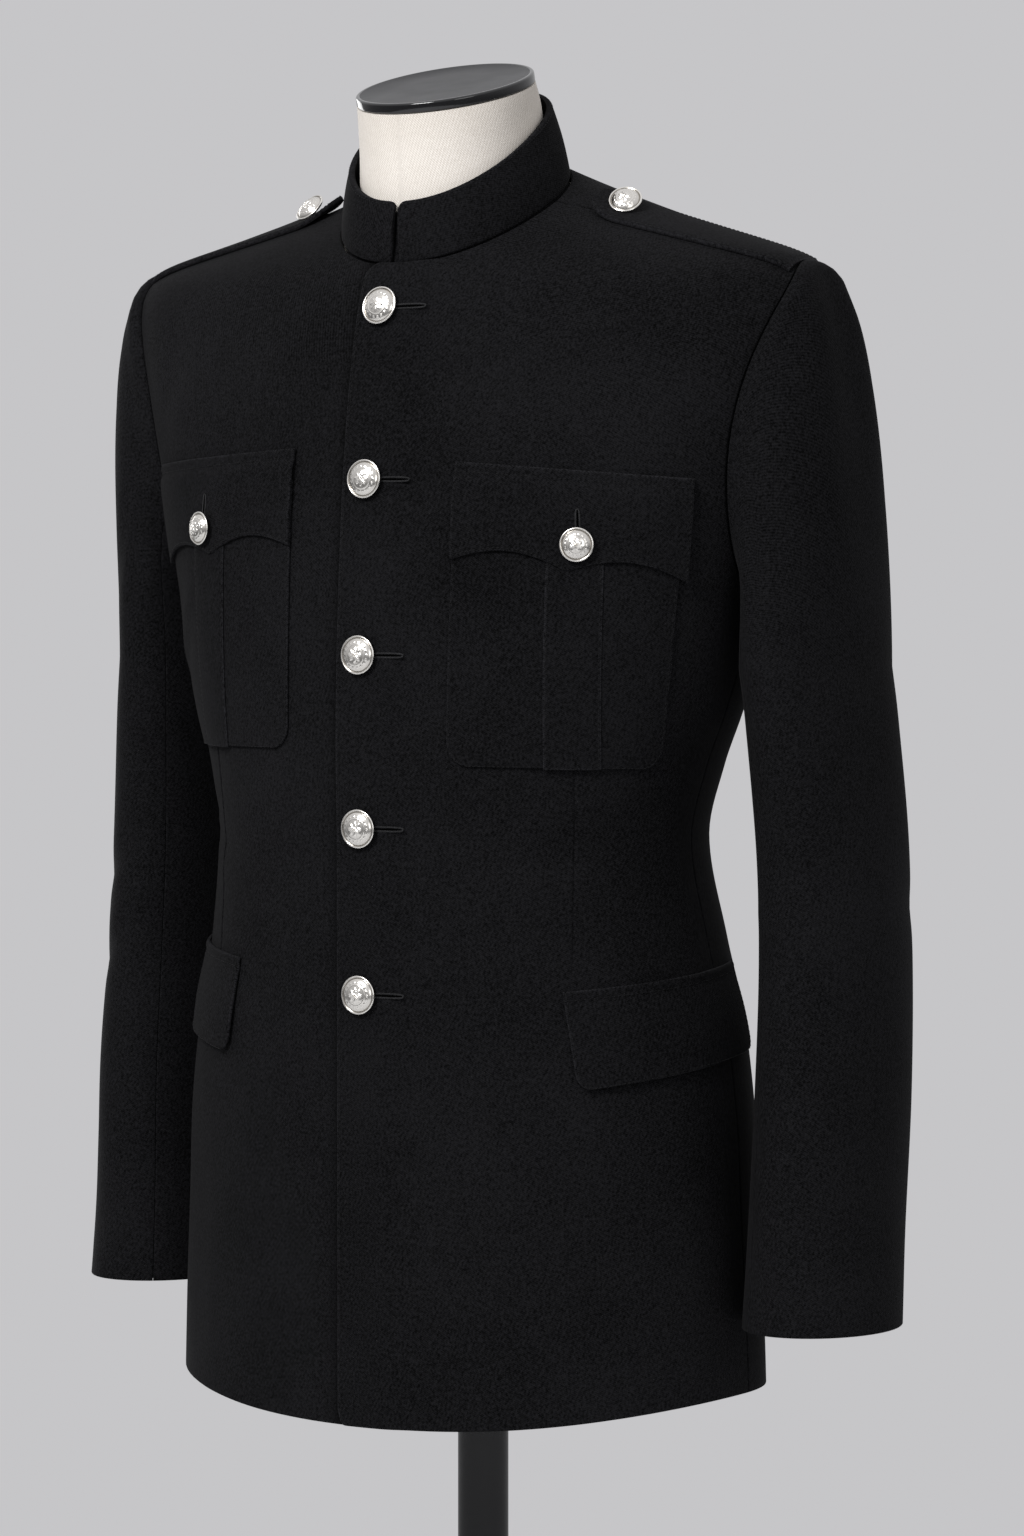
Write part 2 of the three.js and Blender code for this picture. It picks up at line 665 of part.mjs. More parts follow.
// The form hangs clear inside the jacket and carries it on the shoulders.
function formInset(phi, v) {
  const atShoulder = Math.exp(-(((Math.abs(Math.sin(phi)) - 1) / 0.05) ** 2));
  const along = smoothstep(v, 1.55, 1.66) * (1 - smoothstep(v, 1.82, 1.94));
  return lerp(FORM.inset, FORM.shoulderInset, atShoulder * along);
}

function neckTopPoint(phi) {
  const x = FORM.neckRadius * Math.sin(phi);
  const y = -FORM.neckRadius * Math.cos(phi);
  return vec(x, FORM.neckY + y * Math.cos(NECK_TILT), FORM.neckZ + y * Math.sin(NECK_TILT));
}

// A ring drawn in level towards its own middle.
function drawnIn(ring, phi, distance, drop) {
  const point = ringPoint(ring, phi);
  const middle = vec(0, ring.mid, point.z);
  point.lerp(middle, distance / point.distanceTo(middle));
  return point.setZ(point.z - drop);
}

function formTorso() {
  const rings = [];
  for (const z of [FORM.bottom, 775, 838, 901, 945, 1009, 1053, 1086, 1122]) {
    const v = (phi) => (z - hemLevel(phi)) / (ARMPIT - hemLevel(phi));
    rings.push(roundAngles.map((phi) => onBody(phi, v(phi), -FORM.inset)));
    if (z === FORM.bottom) rings[0].forEach((p) => p.setZ(FORM.bottom));
  }
  for (const v of [1, 1.15, 1.3, 1.42, 1.5, 1.57, 1.66, 1.74, 1.82, 1.92]) {
    rings.push(roundAngles.map((phi) => onBody(phi, v, -formInset(phi, v))));
  }
  const collarFoot = roundAngles.map((phi) => drawnIn(NECK_RING, phi, FORM.neckClear + COLLAR_CLOTH, 4));
  const collarHead = roundAngles.map((phi) => drawnIn(COLLAR_TOP, phi, 3 + COLLAR_CLOTH, 0));
  const neckTop = roundAngles.map(neckTopPoint);
  const middle = collarHead.map((p, j) => p.clone().lerp(neckTop[j], 0.5));
  rings.push(collarFoot, collarHead, middle, neckTop);
  return stack(rings);
}

function lathed(profile, sides) {
  const points = profile.map(([r, h]) => new THREE.Vector2(r, h));
  return new THREE.LatheGeometry(points, sides).rotateX(Math.PI / 2);
}

function neckCap() {
  const { radius, thick, edge } = NECK_CAP;
  return lathed([[0, 0], [radius - edge, 0], [radius, edge], [radius, thick - edge],
    [radius - edge, thick], [0, thick]], 48);
}

function standBase() {
  const { radius, rim, height, socket, socketHeight } = BASE;
  return lathed([[0, 0], [radius, 0], [radius, rim], [radius - 8, rim + 3], [socket + 12, height],
    [socket, height + 6], [socket - 2, socketHeight], [0, socketHeight]], BASE.sides);
}

// ---- Materials ----

const finish = (color, roughness, metalness) => (
  new THREE.MeshStandardMaterial({ color, roughness, metalness }));
const wool = finish(0x17181b, 0.95, 0);
const linen = finish(0xded3c4, 0.9, 0);
const silver = finish(0xc9c2b8, 0.3, 1);
const satinBlack = finish(0x2b2a2c, 0.45, 0.1);
const glossBlack = finish(0x0c0c0d, 0.12, 0.1);

const group = new THREE.Group();

function add(name, geometry, material) {
  const mesh = new THREE.Mesh(geometry, material);
  mesh.name = name;
  group.add(mesh);
  return mesh;
}

// A piece and its mirror image, named for the wearer's left and right.
function addPair(name, geometry, material) {
  add(`${name}_left`, geometry, material);
  add(`${name}_right`, mirrored(geometry), material);
}

function addButton(name, place, offset, radius, side, lean = 0) {
  const mesh = add(name, buttonSolid(radius), silver);
  const normal = bodyNormal(...place);
  const seat = bodyPoint(...place).addScaledVector(normal, offset + REST);
  normal.applyAxisAngle(vec(1, 0, 0), degToRad(lean));
  if (side < 0) {
    seat.x = -seat.x;
    normal.x = -normal.x;
  }
  mesh.position.copy(seat);
  mesh.quaternion.setFromUnitVectors(vec(0, 0, 1), normal);
}

add('front_left', frontPanel(LAP_COLUMNS, LAP_LIFT), wool);
add('front_right', mirrored(frontPanel(UNDER_COLUMNS, 0)), wool);
addPair('back', backPanel(), wool);
addPair('top_sleeve', sleeveWall(HIND_ARM_SEAM - 360, FRONT_ARM_SEAM), wool);
addPair('under_sleeve', sleeveWall(FRONT_ARM_SEAM, HIND_ARM_SEAM), wool);
add('collar', collar(), wool);
addPair('shoulder_strap', shoulderStrap(), wool);

BUTTON_LEVELS.forEach((z, i) => {
  addButton(`front_button_${i + 1}`, [0, heightToV(0, z)], LAP_LIFT, BUTTON_RADIUS, 1);
});
for (const [side, word] of [[1, 'left'], [-1, 'right']]) {
  const { breast, hip } = AS_WORN[word];
  const onSide = (geometry) => (side > 0 ? geometry : mirrored(geometry));
  add(`breast_pocket_${word}`, onSide(breastPocket(breast)), wool);
  add(`pocket_pleat_${word}`, onSide(pocketPleat(breast)), wool);
  add(`breast_flap_${word}`, onSide(breastFlap(breast)), wool);
  add(`hip_flap_${word}`, onSide(hipFlap(hip)), wool);
  const onFlap = placeAt(POCKET_BUTTON.run + breast.run, POCKET_BUTTON.z + breast.z);
  const overFlap = BREAST_FLAP.clear + FLAP_CLOTH;
  addButton(`pocket_button_${word}`, onFlap, overFlap, SMALL_BUTTON_RADIUS, side);
  const onStrap = strapPlace(STRAP_BUTTON.x, 0);
  const overStrap = STRAP.clear + STRAP.thick + STRAP_BUTTON.lift;
  addButton(`strap_button_${word}`, onStrap, overStrap, SMALL_BUTTON_RADIUS, side, STRAP_BUTTON.lean);
}

add('form_torso', formTorso(), linen);
const cap = add('neck_cap', neckCap(), satinBlack);
cap.rotation.x = NECK_TILT;
cap.position.set(0, FORM.neckY - REST * Math.sin(NECK_TILT), FORM.neckZ + REST);
const pole = new THREE.CylinderGeometry(POLE.radius, POLE.radius,
  FORM.bottom - BASE.socketHeight - 2 * REST, POLE.sides).rotateX(Math.PI / 2);
add('pole', pole, glossBlack).position.z = (FORM.bottom + BASE.socketHeight) / 2;
add('base', standBase(), glossBlack);

export default group;
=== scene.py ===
# %% [markdown]
# # A military dress jacket on a dress form
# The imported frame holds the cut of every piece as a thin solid. Here each one gets its
# finish: the wool's shell with turned edges, stitching, struck buttons and the stand.

# %% Load the frame
from math import cos, pi, radians, sin

import bmesh
import bpy
import numpy as np
from mathutils import Matrix, Vector


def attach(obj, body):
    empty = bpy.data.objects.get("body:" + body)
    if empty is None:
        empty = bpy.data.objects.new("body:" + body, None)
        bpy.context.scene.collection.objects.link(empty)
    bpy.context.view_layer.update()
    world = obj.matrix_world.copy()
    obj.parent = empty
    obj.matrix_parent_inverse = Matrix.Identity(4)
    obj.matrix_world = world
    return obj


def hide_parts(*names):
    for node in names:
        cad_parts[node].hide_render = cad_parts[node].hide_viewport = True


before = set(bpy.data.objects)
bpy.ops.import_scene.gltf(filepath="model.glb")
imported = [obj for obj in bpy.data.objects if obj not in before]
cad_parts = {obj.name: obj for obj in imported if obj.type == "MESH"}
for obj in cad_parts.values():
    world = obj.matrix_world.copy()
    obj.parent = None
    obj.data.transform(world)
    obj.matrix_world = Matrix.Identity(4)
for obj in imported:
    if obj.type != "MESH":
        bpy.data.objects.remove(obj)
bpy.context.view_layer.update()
BODY = "root"
MM = 0.001

# %% [markdown]
# ## The surface that the tailor's cut follows
# A worn jacket is one smooth surface, cut into panels. The same rings that shape the
# solids shape the cloth here: level ovals up to the armpit, and above it a surface that
# runs from the chest ring over the shoulder ring to the neck ring. Sizes are in mm.

# %% Sizes of the body
ARMPIT = 1160
SECTIONS = np.array([  # level, half width, front, back
    (640, 198, -139, 113), (700, 196, -139, 113), (775, 192, -139, 112), (838, 189, -139, 111),
    (901, 181, -139, 108), (945, 171, -139, 103), (1009, 163, -139, 89), (1053, 171, -140, 98),
    (1086, 182, -140, 105), (1122, 192, -139, 111), (ARMPIT, 200, -137, 116)], float)
HEM = dict(front=648, side=668, back=664)
CHEST_RING = dict(half=200, front=-137, back=116, mid=-10.5, n=2.2, ends=(1160, 1160, 1160), rise=None)
SHOULDER_RING = dict(half=259, front=-128, back=118, mid=-4, n=1.8, ends=(1325, 1357, 1368), rise=4)
NECK_RING = dict(half=72, front=-103, back=34, mid=-28, n=2.1, ends=(1362, 1403, 1431), rise=None)
COLLAR_TOP = dict(half=62, front=-100, back=24, mid=-38, n=2.1, ends=(1401, 1444, 1475), rise=None)
BEND_CENTRE, BEND_SIDE = 2.3, 15
CLOTH = 2.0


def signed_power(value, power):
    return np.sign(value) * np.abs(value) ** power


def ring(sizes, phi):
    s, c = np.sin(phi), signed_power(np.cos(phi), 2 / sizes["n"])
    depth = np.where(c > 0, sizes["mid"] - sizes["front"], sizes["back"] - sizes["mid"])
    x = sizes["half"] * signed_power(s, 2 / sizes["n"])
    y = sizes["mid"] - depth * c
    front, side, back = sizes["ends"]
    end = np.where(c > 0, front, back)
    bent = end + (side - end) * np.abs(s) ** (sizes["rise"] or 1)
    smooth = side - (back - front) / 2 * c + ((front + back) / 2 - side) * c * c
    return np.stack([x, y, bent if sizes["rise"] else smooth], -1)


def section_sizes(z):
    levels = SECTIONS[:, 0]
    i = np.clip(np.searchsorted(levels, z) - 1, 0, len(levels) - 2)
    before, after = np.maximum(i - 1, 0), np.minimum(i + 2, len(levels) - 1)
    step = levels[i + 1] - levels[i]
    t = ((z - levels[i]) / step)[..., None]
    low, high = SECTIONS[i, 1:], SECTIONS[i + 1, 1:]
    slope_low = (high - SECTIONS[before, 1:]) / (levels[i + 1] - levels[before])[..., None]
    slope_high = (SECTIONS[after, 1:] - low) / (levels[after] - levels[i])[..., None]
    run = step[..., None]
    return ((2 * t**3 - 3 * t**2 + 1) * low + (t**3 - 2 * t**2 + t) * slope_low * run
            + (3 * t**2 - 2 * t**3) * high + (t**3 - t**2) * slope_high * run)


def level_point(phi, z):
    half, front, back = np.moveaxis(section_sizes(z), -1, 0)
    s, c = np.sin(phi), np.cos(phi)
    mid = (front + back) / 2
    y = mid - np.where(c > 0, mid - front, back - mid) * signed_power(c, 2 / 2.2)
    return np.stack([half * signed_power(s, 2 / 2.2), y, z], -1)


def shoulder_point(phi, s):
    power = BEND_CENTRE + (BEND_SIDE - BEND_CENTRE) * np.abs(np.sin(phi)) ** 6
    c, d = np.abs(np.cos(s * pi / 2)), np.abs(np.sin(s * pi / 2))
    radius = (c**power + d**power) ** (1 / power)
    up, out = (d / radius)[..., None], (c / radius)[..., None]
    return (ring(CHEST_RING, phi) * (1 - up) + ring(NECK_RING, phi) * (1 - out)
            + ring(SHOULDER_RING, phi) * (up + out - 1))


def hem_level(phi):
    end = np.where(np.cos(phi) > 0, HEM["front"], HEM["back"])
    return end + (HEM["side"] - end) * np.sin(phi) ** 2


def body(phi, v):
    """v is 0 at the hem, 1 at the armpit and 2 at the neck."""
    phi, v = np.broadcast_arrays(np.asarray(phi, float), np.asarray(v, float))
    low = hem_level(phi)
    lower = level_point(phi, low + (ARMPIT - low) * np.minimum(v, 1))
    upper = shoulder_point(phi, np.clip(v - 1, 0, 1))
    return np.where((v > 1)[..., None], upper, lower)


def unit(vectors):
    return vectors / np.maximum(np.linalg.norm(vectors, axis=-1, keepdims=True), 1e-12)


def body_normal(phi, v):
    e = 1e-4
    phi, v = np.broadcast_arrays(np.asarray(phi, float), np.asarray(v, float))
    across = body(phi + e, v) - body(phi - e, v)
    along = body(phi, np.minimum(v + e, 2)) - body(phi, np.maximum(v - e, 0))
    return unit(np.cross(across, along))


def bisect(low, high, too_low):
    """Vectorized search for where too_low turns false."""
    for _ in range(45):
        mid = (low + high) / 2
        below = too_low(mid)
        low, high = np.where(below, mid, low), np.where(below, high, mid)
    return low


def v_at_height(phi, z):
    phi, z = np.broadcast_arrays(np.asarray(phi, float), np.asarray(z, float))
    under = (z - hem_level(phi)) / (ARMPIT - hem_level(phi))
    over = bisect(np.ones(phi.shape), np.full(phi.shape, 2.0), lambda v: body(phi, v)[..., 2] < z)
    return np.where(z <= ARMPIT, under, over)


def phi_at_x(x, v):
    x, v = np.broadcast_arrays(np.asarray(x, float), np.asarray(v, float))
    high = np.full(x.shape, pi / 2)
    return np.sign(x) * bisect(np.zeros(x.shape), high, lambda p: body(p, v)[..., 0] < np.abs(x))


print("waist half width, mm:", round(float(section_sizes(np.array(1009.0))[0]), 1))

# %% [markdown]
# ## Places by tape measure
# A tailor places a pocket by its distance round the body and its height. The lengths
# round the body are measured once, on a ladder of levels, and looked up after that.
# The upper body needs a search instead, since a point there is known by two of its
# coordinates: the armhole is an oval seen from the side, and a strap is seen from above.

# %% Places on the body
ANGLES = np.radians(np.arange(0, 126, 1.0))
LEVELS = np.arange(840, 1262, 4.0)
level_lines = body(ANGLES, v_at_height(ANGLES[None, :], LEVELS[:, None]))
steps_round = np.linalg.norm(np.diff(level_lines, axis=1), axis=-1)
RUNS = np.concatenate([np.zeros((len(LEVELS), 1)), np.cumsum(steps_round, axis=1)], 1)


def place_at(run, z):
    """phi and v at a level, run mm round from the centre front towards the wearer's left."""
    run, z = np.broadcast_arrays(np.asarray(run, float), np.asarray(z, float))
    row = (z - LEVELS[0]) / (LEVELS[1] - LEVELS[0])
    i = np.clip(row.astype(int), 0, len(LEVELS) - 2)
    share = (row - i)[..., None]
    lengths = RUNS[i] * (1 - share) + RUNS[i + 1] * share
    j = np.clip((lengths < run[..., None]).sum(-1) - 1, 0, len(ANGLES) - 2)
    low = np.take_along_axis(lengths, j[..., None], -1)[..., 0]
    high = np.take_along_axis(lengths, j[..., None] + 1, -1)[..., 0]
    phi = ANGLES[j] + (run - low) / (high - low) * (ANGLES[1] - ANGLES[0])
    return phi, v_at_height(phi, z)


def solve_body(axes, wanted, start):
    """phi and v where two coordinates of the upper body have the wanted values, a row each."""
    place = np.array(start, float)
    e = 1e-4
    for _ in range(30):
        phi, v = place[..., 0], place[..., 1]
        here = body(phi, v)[..., axes]
        turn, climb = body(phi + e, v)[..., axes] - here, body(phi, v + e)[..., axes] - here
        slopes = np.stack([turn, climb], -1) / e
        step = np.linalg.solve(slopes, (np.asarray(wanted) - here)[..., None])[..., 0]
        place = place + np.clip(step, -0.15, 0.15)
        place[..., 1] = np.clip(place[..., 1], 1, 1.9999)
    return place


print("chest, centre front to side, mm:", round(float(RUNS[LEVELS == 1160, 90][0])))

# %% [markdown]
# ## From points to a piece of cloth
# Tailored cloth isn't a bare surface: it has a thickness, and its edges are turned and
# pressed, so they end in a small round instead of a knife edge. One helper builds that:
# it takes a grid of points and normals and closes it into a wall whose outer face
# drops over the last millimetre at every edge. The grid's lengths become the UV map,
# in metres, so the weave runs with the cloth. A second map is painted light and shade:
# it lightens each edge as a painted highlight, or darkens cloth under another piece as painted shadow.

# %% Cloth helper
made = {}
# Painted highlight along every turned edge: how much it lightens the colour at the rim, and its width in
# mm.
EDGE_HIGHLIGHT_PAINTED, EDGE_HIGHLIGHT_WIDTH = 0.9, 0.8


def lengths_along(points, axis):
    steps = np.linalg.norm(np.diff(points, axis=axis), axis=-1)
    zero = np.zeros_like(np.take(steps, [0], axis=axis))
    return np.concatenate([zero, np.cumsum(steps, axis=axis)], axis=axis)


def turned(distance, radius):
    near = np.clip(1 - distance / radius, 0, 1)
    return radius * (1 - np.sqrt(1 - near**2))


def closed_wall(name, outer, inner, uv_at, material, painted_highlight_and_shade):
    """A mesh of an outer and an inner grid, joined round the rim, in metres."""
    rows, columns = outer.shape[:2]
    index = np.arange(rows * columns).reshape(rows, columns)
    a, b, c, d = index[:-1, :-1], index[:-1, 1:], index[1:, 1:], index[1:, :-1]
    front = np.stack([a, b, c, d], -1).reshape(-1, 4)
    back = np.stack([a, d, c, b], -1).reshape(-1, 4) + rows * columns
    rim = np.concatenate([index[0, :-1], index[:-1, -1], index[-1, :0:-1], index[:0:-1, 0]])
    onward = np.roll(rim, -1)
    side = np.stack([rim, rim + rows * columns, onward + rows * columns, onward], -1)
    points = np.concatenate([outer.reshape(-1, 3), inner.reshape(-1, 3)]) * MM
    mesh = bpy.data.meshes.new(name)
    mesh.from_pydata(points.tolist(), [], np.concatenate([front, back, side]).tolist())
    uv = mesh.uv_layers.new(name="cloth")
    flat = np.concatenate([uv_at.reshape(-1, 2)] * 2) * MM
    corners = np.empty(len(mesh.loops), int)
    mesh.loops.foreach_get("vertex_index", corners)
    uv.data.foreach_set("uv", flat[corners].ravel())
    # The map of painted highlight and painted shadow, on the outer face only.
    shade = mesh.attributes.new("painted_highlight_and_shade", "FLOAT", "POINT")
    shade.data.foreach_set("value", np.concatenate([painted_highlight_and_shade.ravel(), np.zeros(rows * columns)]))
    mesh.shade_smooth()
    mesh.set_sharp_from_angle(angle=radians(50))
    mesh.materials.append(material)
    piece = bpy.data.objects.new(name, mesh)
    bpy.context.collection.objects.link(piece)
    return piece


def cloth(name, node, points, normals, thick, material, edge=0.9, lift=0.0, painted_highlight_and_shade=None):
    """One sewn piece: lift moves it off its base, edge is the round of its turned edges."""
    across, along = lengths_along(points, 1), lengths_along(points, 0)
    from_side = np.minimum(across, across[:, -1:] - across)
    from_end = np.minimum(along, along[-1:] - along)
    drop = np.maximum(turned(from_side, edge), turned(from_end, edge))
    height = np.broadcast_to(lift, points.shape[:2])
    outer = points + normals * (height + thick - drop)[..., None]
    inner = points + normals * (height + turned(from_side, edge) * 0.2)[..., None]
    uv_at = np.stack([across, along.mean(axis=1, keepdims=True) + 0 * across], -1)
    # A piece without its own map gets a painted highlight along all its edges.
    if painted_highlight_and_shade is None:
        painted_highlight_and_shade = EDGE_HIGHLIGHT_PAINTED * np.exp(-(np.minimum(from_side, from_end) / EDGE_HIGHLIGHT_WIDTH) ** 2)
    piece = closed_wall(name, outer, inner, uv_at, material, painted_highlight_and_shade)
    cells = np.cross(np.diff(outer, axis=0)[:, :-1], np.diff(outer, axis=1)[:-1])
    area = np.linalg.norm(cells, axis=-1).sum() * MM**2
    made[name] = dict(piece=piece, node=node, width=across[:, -1].max() * MM,
                      length=along[-1].max() * MM, area=area, outer=outer, normals=normals)
    print(f"{name}: {made[name]['width']:.3f} x {made[name]['length']:.3f} m, {area:.4f} m2")
    return piece


def flipped(points):
    """The mirror image of a grid, with its columns turned round to face outwards again."""
    return (points * np.array([-1, 1, 1]))[:, ::-1]


def spaced(low, high, step, ends=(0.0, 0.35, 0.9, 1.8, 3.2)):
    """Even steps with closer ones at both ends, for the turned edges."""
    ends = np.array(ends)
    middle = np.linspace(low + ends[-1], high - ends[-1], max(2, int((high - low) / step)))
    return np.concatenate([low + ends[:-1], middle, (high - ends[:-1])[::-1]])


def tube_faces(rows, count):
    """Faces between rings of so many points each, closed at both ends."""
    faces = [(i * count + j, i * count + (j + 1) % count,
              (i + 1) * count + (j + 1) % count, (i + 1) * count + j)
             for i in range(rows - 1) for j in range(count)]
    return faces + [tuple(range(count))[::-1], tuple(range((rows - 1) * count, rows * count))]


def put_in(name, mesh, node=None):
    """A finished mesh becomes a piece that rides on the one body."""
    piece = bpy.data.objects.new(name, mesh)
    bpy.context.collection.objects.link(piece)
    if node:
        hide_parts(node)
    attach(piece, BODY)
    return piece


print("an edge's turn at its rim, mm:", turned(np.array([0.0]), 0.9))

# %% [markdown]
# ## Barathea wool
# Dress uniform cloth is a dense worsted with a fine diagonal rib under a short nap. The
# rib is a band pattern on the UV map, turned by the twill's angle; the nap is a fine
# noise, and a broad noise gives the slight clouding of pressed wool. They meet in one
# node group, because the panels, the stitching, the linen and the straps all share it.
# Image textures of cloth are the usual other way, but they repeat and carry no size.

# %% Shader groups


def group_with(name, inputs, outputs):
    tree = bpy.data.node_groups.new(name, "ShaderNodeTree")
    for label, kind, value in inputs:
        socket = tree.interface.new_socket(name=label, in_out="INPUT", socket_type=kind)
        socket.default_value = value
    for label, kind in outputs:
        tree.interface.new_socket(name=label, in_out="OUTPUT", socket_type=kind)
    return tree, tree.nodes.new("NodeGroupInput"), tree.nodes.new("NodeGroupOutput")


def add_node(tree, kind, settings=None, **values):
    node = tree.nodes.new(kind)
    for key, value in (settings or {}).items():
        setattr(node, key, value)
    for key, value in values.items():
        node.inputs[key.replace("_", " ")].default_value = value
    return node


def maths(tree, operation, first, second=None, third=None):
    node = tree.nodes.new("ShaderNodeMath")
    node.operation = operation
    for socket, value in zip(node.inputs, (first, second, third)):
        if value is None:
            continue
        if isinstance(value, (int, float)):
            socket.default_value = value
        else:
            tree.links.new(value, socket)
    return node.outputs[0]


def weave_group():
    """Twill rib, nap and clouding: a shade factor and a height."""
    tree, start, end = group_with(
        "twill and nap",
        [("Rib Width", "NodeSocketFloat", 0.0011), ("Twill Angle", "NodeSocketFloat", 1.05),
         ("Rib Depth", "NodeSocketFloat", 0.6), ("Nap", "NodeSocketFloat", 0.5),
         ("Clouding", "NodeSocketFloat", 0.55)],
        [("Shade", "NodeSocketFloat"), ("Height", "NodeSocketFloat")])
    place = add_node(tree, "ShaderNodeUVMap", {"uv_map": "cloth"})
    split = add_node(tree, "ShaderNodeSeparateXYZ")
    tree.links.new(place.outputs[0], split.inputs[0])
    turn_cos = maths(tree, "COSINE", start.outputs["Twill Angle"])
    turn_sin = maths(tree, "SINE", start.outputs["Twill Angle"])
    across = maths(tree, "ADD", maths(tree, "MULTIPLY", split.outputs[0], turn_cos),
                   maths(tree, "MULTIPLY", split.outputs[1], turn_sin))
    along = maths(tree, "SUBTRACT", maths(tree, "MULTIPLY", split.outputs[1], turn_cos),
                  maths(tree, "MULTIPLY", split.outputs[0], turn_sin))
    turns = maths(tree, "MULTIPLY", maths(tree, "DIVIDE", across, start.outputs["Rib Width"]), 2 * pi)
    picks = maths(tree, "MULTIPLY", maths(tree, "DIVIDE", along, start.outputs["Rib Width"]), 2.9)
    rib = maths(tree, "MULTIPLY_ADD", maths(tree, "SINE", turns), 0.5, 0.5)
    pick = maths(tree, "MULTIPLY_ADD", maths(tree, "SINE", picks), 0.5, 0.5)
    yarn = maths(tree, "MULTIPLY_ADD", pick, 0.3, maths(tree, "MULTIPLY", rib, 0.7))
    spot = add_node(tree, "ShaderNodeTexCoord")
    nap = add_node(tree, "ShaderNodeTexNoise", Scale=650.0, Detail=3.0, Roughness=0.7)
    cloud = add_node(tree, "ShaderNodeTexNoise", Scale=9.0, Detail=4.0, Roughness=0.55)
    for noise in (nap, cloud):
        tree.links.new(spot.outputs["Object"], noise.inputs["Vector"])
    ribbed = maths(tree, "MULTIPLY", yarn, start.outputs["Rib Depth"])
    napped = maths(tree, "MULTIPLY", nap.outputs[0], start.outputs["Nap"])
    height = maths(tree, "ADD", ribbed, napped)
    clouded = maths(tree, "MULTIPLY", maths(tree, "SUBTRACT", cloud.outputs[0], 0.5),
                    start.outputs["Clouding"])
    fuzz = maths(tree, "MULTIPLY", maths(tree, "SUBTRACT", nap.outputs[0], 0.5),
                 maths(tree, "MULTIPLY", start.outputs["Nap"], 3.2))
    mottle = maths(tree, "ADD", clouded, fuzz)
    shade = maths(tree, "ADD", maths(tree, "MULTIPLY_ADD", height, 0.5, 0.4), mottle)
    tree.links.new(shade, end.inputs["Shade"])
    tree.links.new(height, end.inputs["Height"])
    return tree


def principled(name, **constants):
    material = bpy.data.materials.new(name)
    material.use_nodes = True
    shader = material.node_tree.nodes["Principled BSDF"]
    for key, value in constants.items():
        shader.inputs[key.replace("_", " ")].default_value = value
    return material, material.node_tree, shader


weave = weave_group()
print("shader group:", weave.name, [item.name for item in weave.interface.items_tree])

# %% [markdown]
# ## The finishes
# Six finishes cover the object: near-black wool, sewing thread, a buttonhole silk made
# paler as painted sheen on its raised cords, with near-black grains in the slit between
# its cords as painted shadow, cream linen, struck silver and black enamel. Each keeps
# its own shader and takes its pattern from the group or from a noise.

# %% Finishes


def cloth_material(name, dark, light, rib=0.0011, depth=0.6, nap=0.5, bump=0.35, **constants):
    material, tree, shader = principled(name, **constants)
    node = tree.nodes.new("ShaderNodeGroup")
    node.node_tree = weave
    for label, value in (("Rib Width", rib), ("Rib Depth", depth), ("Nap", nap)):
        node.inputs[label].default_value = value
    colour = add_node(tree, "ShaderNodeValToRGB")
    colour.color_ramp.elements[0].color = (*dark, 1)
    colour.color_ramp.elements[1].color = (*light, 1)
    colour.color_ramp.elements[0].position = 0.35
    colour.color_ramp.elements[1].position = 1.3 / 1.35
    relief = add_node(tree, "ShaderNodeBump", Strength=bump, Distance=0.0003)
    tree.links.new(node.outputs["Shade"], colour.inputs[0])
    # Painted light and shade: the map scales the base colour, up for painted highlights, down for
    # painted shadow.
    painted_highlight_and_shade = add_node(tree, "ShaderNodeAttribute", {"attribute_name": "painted_highlight_and_shade"})
    lit = add_node(tree, "ShaderNodeVectorMath", {"operation": "SCALE"})
    tree.links.new(colour.outputs[0], lit.inputs[0])
    tree.links.new(maths(tree, "ADD", painted_highlight_and_shade.outputs["Fac"], 1.0), lit.inputs["Scale"])
    tree.links.new(lit.outputs[0], shader.inputs["Base Color"])
    tree.links.new(node.outputs["Height"], relief.inputs["Height"])
    tree.links.new(relief.outputs[0], shader.inputs["Normal"])
    return material


WOOL = cloth_material("barathea wool", (0.0003, 0.0003, 0.0004), (0.0102, 0.0101, 0.0114),
                      Roughness=0.9, Sheen_Weight=0.012, Sheen_Roughness=0.5,
                      Specular_IOR_Level=0.06)
YARN = 0.0006
THREAD = cloth_material("sewing thread", (0.0015, 0.0015, 0.0018), (0.009, 0.009, 0.01),
                        rib=YARN, Roughness=0.7, Sheen_Weight=0.02, Specular_IOR_Level=0.2)
# Paler than the wool: painted sheen on the buttonholes' raised cords.
PURL = cloth_material("buttonhole silk", (0.005, 0.005, 0.0055), (0.019, 0.019, 0.021),
                      rib=YARN, Roughness=0.6, Sheen_Weight=0.02, Specular_IOR_Level=0.3)
# Near-black grains in the buttonholes' slits: painted shadow.
SLIT_SHADOW = cloth_material("slit shadow", (0.0002, 0.0002, 0.0002), (0.0006, 0.0006, 0.0007),
                      rib=YARN, Roughness=1.0, Specular_IOR_Level=0.02)
LINEN = cloth_material("cream linen", (0.6, 0.54, 0.47), (0.97, 0.92, 0.86), rib=0.0014,
                       depth=0.95, nap=0.1, bump=0.35, Roughness=0.85, Sheen_Weight=0.1)


